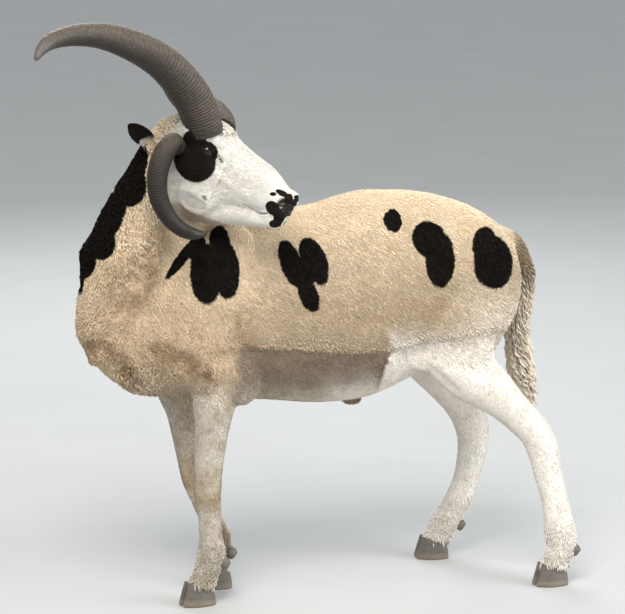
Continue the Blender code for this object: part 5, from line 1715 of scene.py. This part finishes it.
def coat_tree():
    tree, start, end = new_tree(
        "coat_of_tufts",
        (("Spacing", "Float"), ("Most", "Float"), ("Width", "Float"), ("Unrest", "Float"), ("Seed", "Int"),
         ("Shapes", "Collection"), ("Finish", "Material")),
    )

    def named(name, kind="FLOAT"):
        return tree_node(
            tree, "GeometryNodeInputNamedAttribute", {"data_type": kind}, {"Name": name}
        ).outputs["Attribute"]

    scatter = tree_node(
        tree, "GeometryNodeDistributePointsOnFaces", {"distribute_method": "POISSON"},
        {"Mesh": start.outputs["Geometry"], "Distance Min": start.outputs["Spacing"],
         "Density Max": start.outputs["Most"], "Density Factor": named("cover"),
         "Seed": start.outputs["Seed"]},
    )
    aim = tree_node(
        tree, "FunctionNodeAxesToRotation", {"primary_axis": "Z", "secondary_axis": "X"},
        {"Primary Axis": scatter.outputs["Normal"], "Secondary Axis": named("lie", "FLOAT_VECTOR")},
    )
    unrest = start.outputs["Unrest"]
    swing = tree_node(
        tree, "FunctionNodeRandomValue", {"data_type": "FLOAT_VECTOR"},
        {"Min": (-0.5, -0.45, -1.0), "Max": (0.5, 0.25, 1.0), "Seed": 5},
    )
    swung = vector_math(tree, "SCALE", swing.outputs[0])
    tree.links.new(unrest, swung.inputs["Scale"])
    turn = tree_node(tree, "FunctionNodeEulerToRotation", None, {"Euler": swung.outputs[0]})
    turned = tree_node(
        tree, "FunctionNodeRotateRotation", {"rotation_space": "LOCAL"},
        {"Rotation": aim.outputs[0], "Rotate By": turn.outputs[0]},
    )
    vary = tree_node(
        tree, "FunctionNodeRandomValue", {"data_type": "FLOAT"}, {"Seed": 9}
    )
    vary.inputs[2].default_value, vary.inputs[3].default_value = 0.70, 1.30
    long = times(tree, named("hair"), vary.outputs[1])
    wide = times(tree, long, start.outputs["Width"])
    size = joined(tree, long, wide, times(tree, long, 0.52))
    shapes = tree_node(
        tree, "GeometryNodeCollectionInfo", None, {"Collection": start.outputs["Shapes"]}
    )
    shapes.inputs["Separate Children"].default_value = True
    shapes.inputs["Reset Children"].default_value = True
    pick = tree_node(tree, "FunctionNodeRandomValue", {"data_type": "INT"}, {"Seed": 3})
    pick.inputs[4].default_value, pick.inputs[5].default_value = 0, TUFT_KINDS - 1
    shade = tree_node(tree, "FunctionNodeRandomValue", {"data_type": "FLOAT"}, {"Seed": 21})
    toned = tree_node(
        tree, "GeometryNodeStoreNamedAttribute", {"data_type": "FLOAT", "domain": "POINT"},
        {"Geometry": scatter.outputs["Points"], "Name": "tone", "Value": shade.outputs[1]},
    )
    planted = tree_node(
        tree, "GeometryNodeInstanceOnPoints", None,
        {"Points": toned.outputs[0], "Instance": shapes.outputs[0], "Pick Instance": True,
         "Instance Index": pick.outputs[2], "Rotation": turned.outputs[0], "Scale": size},
    )
    real = tree_node(tree, "GeometryNodeRealizeInstances", None, {"Geometry": planted.outputs[0]})
    blade, root = named("blade", "FLOAT_VECTOR"), named("unwrap", "FLOAT_VECTOR")
    patch = vector_math(tree, "MULTIPLY_ADD", blade, (BAKE_PATCH,) * 3, root)
    baked = tree_node(
        tree, "GeometryNodeStoreNamedAttribute", {"data_type": "FLOAT2", "domain": "CORNER"},
        {"Geometry": real.outputs[0], "Name": "OFBake", "Value": patch.outputs[0]},
    )
    smooth = tree_node(tree, "GeometryNodeSetShadeSmooth", None, {"Geometry": baked.outputs[0]})
    return close_tree(tree, smooth, start, end)


COAT_TREE = coat_tree()
print("coat tree with", len(COAT_TREE.nodes), "nodes")

# %% Length of the hair, and where none grows


def horn_distance(points):
    """Distance outside the nearest horn's surface, near the roots of the horns."""
    head = in_head(points)
    best = np.full(len(points), 1.0)
    for table in (HORN_UPPER_RIGHT, HORN_UPPER_LEFT, HORN_LOWER_RIGHT, HORN_LOWER_LEFT):
        for row in curve_through(table, 4)[:26]:
            best = np.minimum(best, np.linalg.norm(head - row[:3], axis=1) - row[3])
    return best


# Length in metres on the fleece, the belly, the scrotum, the face, the ear and the shin, and what
# the other places add to it or, on the muzzle, take away
HAIR = {
    "fleece": 0.0066, "edge": 0.0034, "neck": 0.0012, "brisket": 0.0110, "nape": 0.0034, "belly": 0.0058,
    "tail": 0.010, "tail end": 0.012, "scrotum": 0.0045, "face": 0.0036, "poll": 0.0070, "crown": 0.0120,
    "muzzle": 0.0012, "ear": 0.0028, "shin": 0.0042, "fetlock": 0.0036, "coronet": 0.0060,
}


def hair_length(points, face, leg, belly, ear):
    x, y, z = points.T
    ahead, left, above = in_head(points).T
    wool = np.full(len(points), HAIR["fleece"])
    edge = ridge_height(x)
    wool += HAIR["edge"] * np.exp(-(((z - edge - 0.004) / 0.010) ** 2)) * step(x, -0.20, -0.15)
    neck = step(-x, 0.16, 0.30)
    wool += HAIR["neck"] * neck
    wool += HAIR["brisket"] * step(-x, 0.28, 0.34) * step(0.47 - z, 0.0, 0.05)
    nape = step(-x - 0.30 + 0.30 * (z - 0.60), 0.0, 0.05) * step(z, 0.60, 0.66)
    wool += HAIR["nape"] * nape
    wool = np.where(belly > 0.5, HAIR["belly"], wool)
    tail = tail_share(points)
    wool += tail * (HAIR["tail"] + HAIR["tail end"] * step(0.47 - z, 0.0, 0.10))
    scrotum = step(0.45 - z, 0, 0.02) * step(0.05 - np.abs(y), 0, 0.01)
    scrotum = scrotum * step(x, 0.22, 0.24) * step(0.34 - x, 0, 0.02)
    wool = wool * (1 - scrotum) + HAIR["scrotum"] * scrotum
    uneven = np.array([field.noise(Vector(p) * 30.0) for p in points])
    wool = wool * (1 + 0.30 * uneven)
    poll = step(-ahead, -0.030, 0.015) * step(above, 0.0, 0.02) * face
    crown = step(above_head(points), 0.066, 0.088) * face
    short = HAIR["face"] + HAIR["poll"] * poll + HAIR["crown"] * crown
    short = short - HAIR["muzzle"] * step(ahead, 0.15, 0.20)
    short = short * (1 - ear) + HAIR["ear"] * ear
    shin = HAIR["shin"] + HAIR["fetlock"] * step(0.13 - z, 0.0, 0.03)
    shin = shin + HAIR["coronet"] * step(0.050 - z, 0.0, 0.006)
    bare = np.maximum(face, leg)
    return wool * (1 - bare) + np.where(face >= leg, short, shin) * bare


def hair_cover(points):
    """1 where hair grows, 0 on lids, nostrils, lips, and under horns and hooves."""
    head = in_head(points)
    cover = step(horn_distance(points), -0.003, 0.0005)
    cover *= step(points[:, 2], 0.036, 0.042)
    for side in (-1, 1):
        centre, out, nose, up = eye_frame(side)
        rel = head - centre
        far = np.linalg.norm(rel, axis=1) + 1e-9
        ahead = EYE_BALL * np.arctan2(rel @ nose / far, rel @ out / far)
        above = EYE_BALL * np.arctan2(rel @ up / far, rel @ out / far) + 0.12 * ahead
        inside = (np.abs(ahead) < 0.0168) & (np.abs(above - 0.001) < 0.0066) & (rel @ out > 0) & (far < 0.03)
        cover[inside] = 0.0
    near = np.nonzero(muzzle(0.14, -0.08, 0.08)(head))[0]
    for line in both_sides(MOUTH_LINE):
        away, _ = distance_to(head[near], line)
        cover[near] *= step(away, 0.0016, 0.0030)
    for line in both_sides(NOSTRIL):
        away, _ = distance_to(head[near], line)
        cover[near] *= step(away, 0.0045, 0.0070)
    return cover


def unwrap(points, face, leg, tail):
    """Each region rolled out flat round its own axis, in its own part of the unit square."""
    x, y, z = points.T
    ahead, left, above = in_head(points).T
    u = (np.arctan2(z - 0.54, y) / (2 * math.pi) + 0.5) * 0.58 + 0.01
    v = (x + 0.50) / 1.0 * 0.96 + 0.02
    u = np.where(face > 0.5, 0.62 + 0.17 * (np.arctan2(above - 0.02, left) / (2 * math.pi) + 0.5), u)
    v = np.where(face > 0.5, 0.02 + 0.46 * (ahead + 0.08) / 0.33, v)
    for i, (fore, near) in enumerate(((1, -1), (1, 1), (-1, -1), (-1, 1))):
        middles_x = (-0.20, -0.21, -0.22) if fore > 0 else (0.42, 0.40, 0.26)
        centre_x = np.interp(z, (0.03, 0.20, 0.42), middles_x)
        here = (leg > 0.5) & ((x < 0.05) == (fore > 0)) & (y * near > 0) & (face <= 0.5)
        angle = np.arctan2(x - centre_x, (y - 0.08 * near) * near) / (2 * math.pi) + 0.5
        u = np.where(here, 0.62 + 0.085 * i + 0.082 * angle, u)
        v = np.where(here, 0.52 + 0.45 * z / 0.46, v)
    angle = np.arctan2(x - 0.408, y) / (2 * math.pi) + 0.5
    u = np.where(tail > 0.5, 0.82 + 0.15 * angle, u)
    v = np.where(tail > 0.5, 0.02 + 0.44 * (z - 0.30) / 0.34, v)
    return np.clip(np.stack([u, v, 0 * u], axis=1), 0.0, 0.996)


def read_float(mesh, name):
    values = np.empty(len(mesh.vertices), np.float32)
    mesh.attributes[name].data.foreach_get("value", values)
    return values.astype(float)


mesh = skin.data
mesh.calc_loop_triangles()
triangles = np.empty(len(mesh.loop_triangles) * 3, np.int32)
mesh.loop_triangles.foreach_get("vertices", triangles)
triangles = triangles.reshape(-1, 3)
points = points_of(mesh)
facts = {name: read_float(mesh, name) for name in ("face", "leg", "belly", "ear", "pale", "groove", "crease_shade_and_stain")}
tail = tail_share(points)
facts["hair"] = hair_length(points, facts["face"], facts["leg"], facts["belly"], facts["ear"])
facts["cover"] = hair_cover(points)
lies = lie_of_coat(points)
spread = unwrap(points, facts["face"], facts["leg"], tail)
print("skin has", len(triangles), "triangles")

# %% Coat finish
COAT_FINISH, tree, shader, place = new_material("coat_wool", 0.9)
shader.inputs["Specular IOR Level"].default_value = 0.12
marks = tree.nodes.new("ShaderNodeGroup")
marks.node_tree = MARKINGS
marked, dark = marks.outputs["Colour"], marks.outputs["Dark"]
tone = attribute(tree, "tone")
# painted shade among the tufts: each tuft's colour darkens towards its root
root = between(tree, split(tree, attribute(tree, "blade", "Vector"))[0], 0.0, 0.55, 0.16, 0.0)
colour = mixed(tree, root, marked, mixed(tree, 0.35, marked, (0.03, 0.02, 0.012)))
brown = mixed(tree, 1.0, colour, (0.80, 0.72, 0.62), "MULTIPLY")
colour = mixed(tree, times(tree, between(tree, tone, 0.45, 1.0), 0.34), colour, brown)
pale_wool = mixed(tree, 0.18, colour, (0.95, 0.90, 0.80))
light = times(tree, between(tree, tone, 0.40, 0.0), mathematics(tree, "SUBTRACT", 1.0, dark))
colour = mixed(tree, light, colour, pale_wool)
tree.links.new(colour, shader.inputs["Base Color"])
fluff = noise(tree, place, 900.0, 2.0)
add_bump(tree, shader, fluff, 0.0006, 0.5)
print("coat finish made")

# %% Plant the coat, region by region


def region_of(centres, face, leg, tail):
    """The name of the coat piece that each triangle of the skin belongs to."""
    x, y, z = centres.T
    names = np.full(len(centres), "coat_ribs_near", dtype=object)
    names[(y > 0)] = "coat_ribs_far"
    names[(x < -0.07) & (y <= 0)] = "coat_shoulder_near"
    names[(x < -0.07) & (y > 0)] = "coat_shoulder_far"
    names[(x > 0.12) & (y <= 0)] = "coat_loin_near"
    names[(x > 0.12) & (y > 0)] = "coat_loin_far"
    names[(x > 0.26)] = "coat_rump"
    names[(x < -0.20) & (z > 0.56)] = "coat_neck"
    names[(x < -0.20) & (z <= 0.56)] = "coat_brisket"
    names[tail > 0.5] = "coat_tail"
    names[(leg > 0.5) & (x < 0.05)] = "coat_forelegs"
    names[(leg > 0.5) & (x >= 0.05)] = "coat_hindlegs"
    names[face > 0.5] = "coat_head"
    return names


def emitter(name, chosen):
    """The chosen triangles as a mesh of their own, with all that the tree reads."""
    used, index = np.unique(chosen, return_inverse=True)
    made = bpy.data.meshes.new(name)
    made.from_pydata(points[used].tolist(), [], index.reshape(-1, 3).tolist())
    for label, values in facts.items():
        set_float(made, label, values[used])
    set_vector(made, "lie", lies[used])
    set_vector(made, "unwrap", spread[used])
    source = bpy.data.objects.new(name, made)
    work.objects.link(source)
    return source


middles = points[triangles].mean(axis=1)
on_face, on_leg = (facts[name][triangles].mean(1) for name in ("face", "leg"))
regions = region_of(middles, on_face, on_leg, tail[triangles].mean(1))
# Spacing of the roots, width for each unit of length, unrest and kind of tuft
SETTINGS = {
    "coat_head": (0.00165, 0.26, 0.26, SHORT_TUFTS),
    "coat_forelegs": (0.0020, 0.24, 0.26, SHORT_TUFTS),
    "coat_hindlegs": (0.0021, 0.24, 0.26, SHORT_TUFTS),
    "coat_neck": (0.0017, 0.22, 0.52, SHORT_TUFTS),
    "coat_brisket": (0.0018, 0.20, 0.58, SHORT_TUFTS),
    "coat_tail": (0.0028, 0.16, 0.45, LONG_LOCKS),
}
FLEECE = (0.0018, 0.24, 0.52, SHORT_TUFTS)
total = 0
for seed, name in enumerate(sorted(set(regions))):
    spacing, width, unrest, kind = SETTINGS.get(name, FLEECE)
    source = emitter(name, triangles[regions == name])
    values = {
        "Spacing": spacing, "Most": 1.6 / spacing**2, "Width": width, "Unrest": unrest, "Seed": seed + 1,
        "Shapes": kind, "Finish": COAT_FINISH,
    }
    coat = run_tree(source, COAT_TREE, values, name)
    for extra in ("hair", "cover", "lie", "unwrap"):
        found = coat.data.attributes.get(extra)
        if found:
            coat.data.attributes.remove(found)
    settle(coat)
    work.objects.unlink(coat)
    scene.collection.objects.link(coat)
    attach(coat, "root")
    count = len(coat.data.polygons)
    total += count
    print(name, count, "triangles")
print("coat in all", total, "triangles")

# %% Skin finish
SKIN_FINISH, tree, shader, place = new_material("skin_hide", 0.85)
shader.inputs["Specular IOR Level"].default_value = 0.15
marks = tree.nodes.new("ShaderNodeGroup")
marks.node_tree = MARKINGS
face = attribute(tree, "face")
streak = node(
    tree, "ShaderNodeMapping", {"vector_type": "TEXTURE"}, Vector=place, Location=tuple(HEAD_MIDDLE),
    Rotation=HEAD_TURN, Scale=(5.5, 1.0, 1.0),
).outputs[0]
hair = noise(tree, streak, 620.0, 3.0, 0.7)
down = node(tree, "ShaderNodeMapping", None, Vector=place, Scale=(1.0, 1.0, 0.16)).outputs[0]
hang = noise(tree, down, 620.0, 3.0, 0.7)
relief = tree.nodes.new("ShaderNodeMix")
relief.data_type = "FLOAT"
for socket, value in zip(relief.inputs[:1] + relief.inputs[2:4], (face, hang, hair)):
    tree.links.new(value, socket)
relief = relief.outputs[0]
marked = marks.outputs["Colour"]
# painted shade: where the hair relief is low, in the partings, the colour is darkened
parting_shade = mixed(tree, 0.14, marked, (0.10, 0.07, 0.045))
shaded = mixed(tree, between(tree, relief, 0.30, 0.60), parting_shade, marked)
tree.links.new(shaded, shader.inputs["Base Color"])
add_bump(tree, shader, relief, 0.0016, 0.85)
skin.data.materials.clear()
skin.data.materials.append(SKIN_FINISH)
skin.data.polygons.foreach_set("use_smooth", [True] * len(skin.data.polygons))
settle(skin)
skin.name = "ram_skin"
work.objects.unlink(skin)
scene.collection.objects.link(skin)
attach(skin, "root")
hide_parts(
    "torso", "neck", "head", "tail", "scrotum", "ear_left", "ear_right", "foreleg_left",
    "foreleg_right", "hindleg_left", "hindleg_right",
)
print("skin wears its markings")

# %% Close
scene.collection.children.unlink(work)
low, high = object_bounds()
print("visual box", [round(float(v), 4) for v in low], [round(float(v), 4) for v in high])
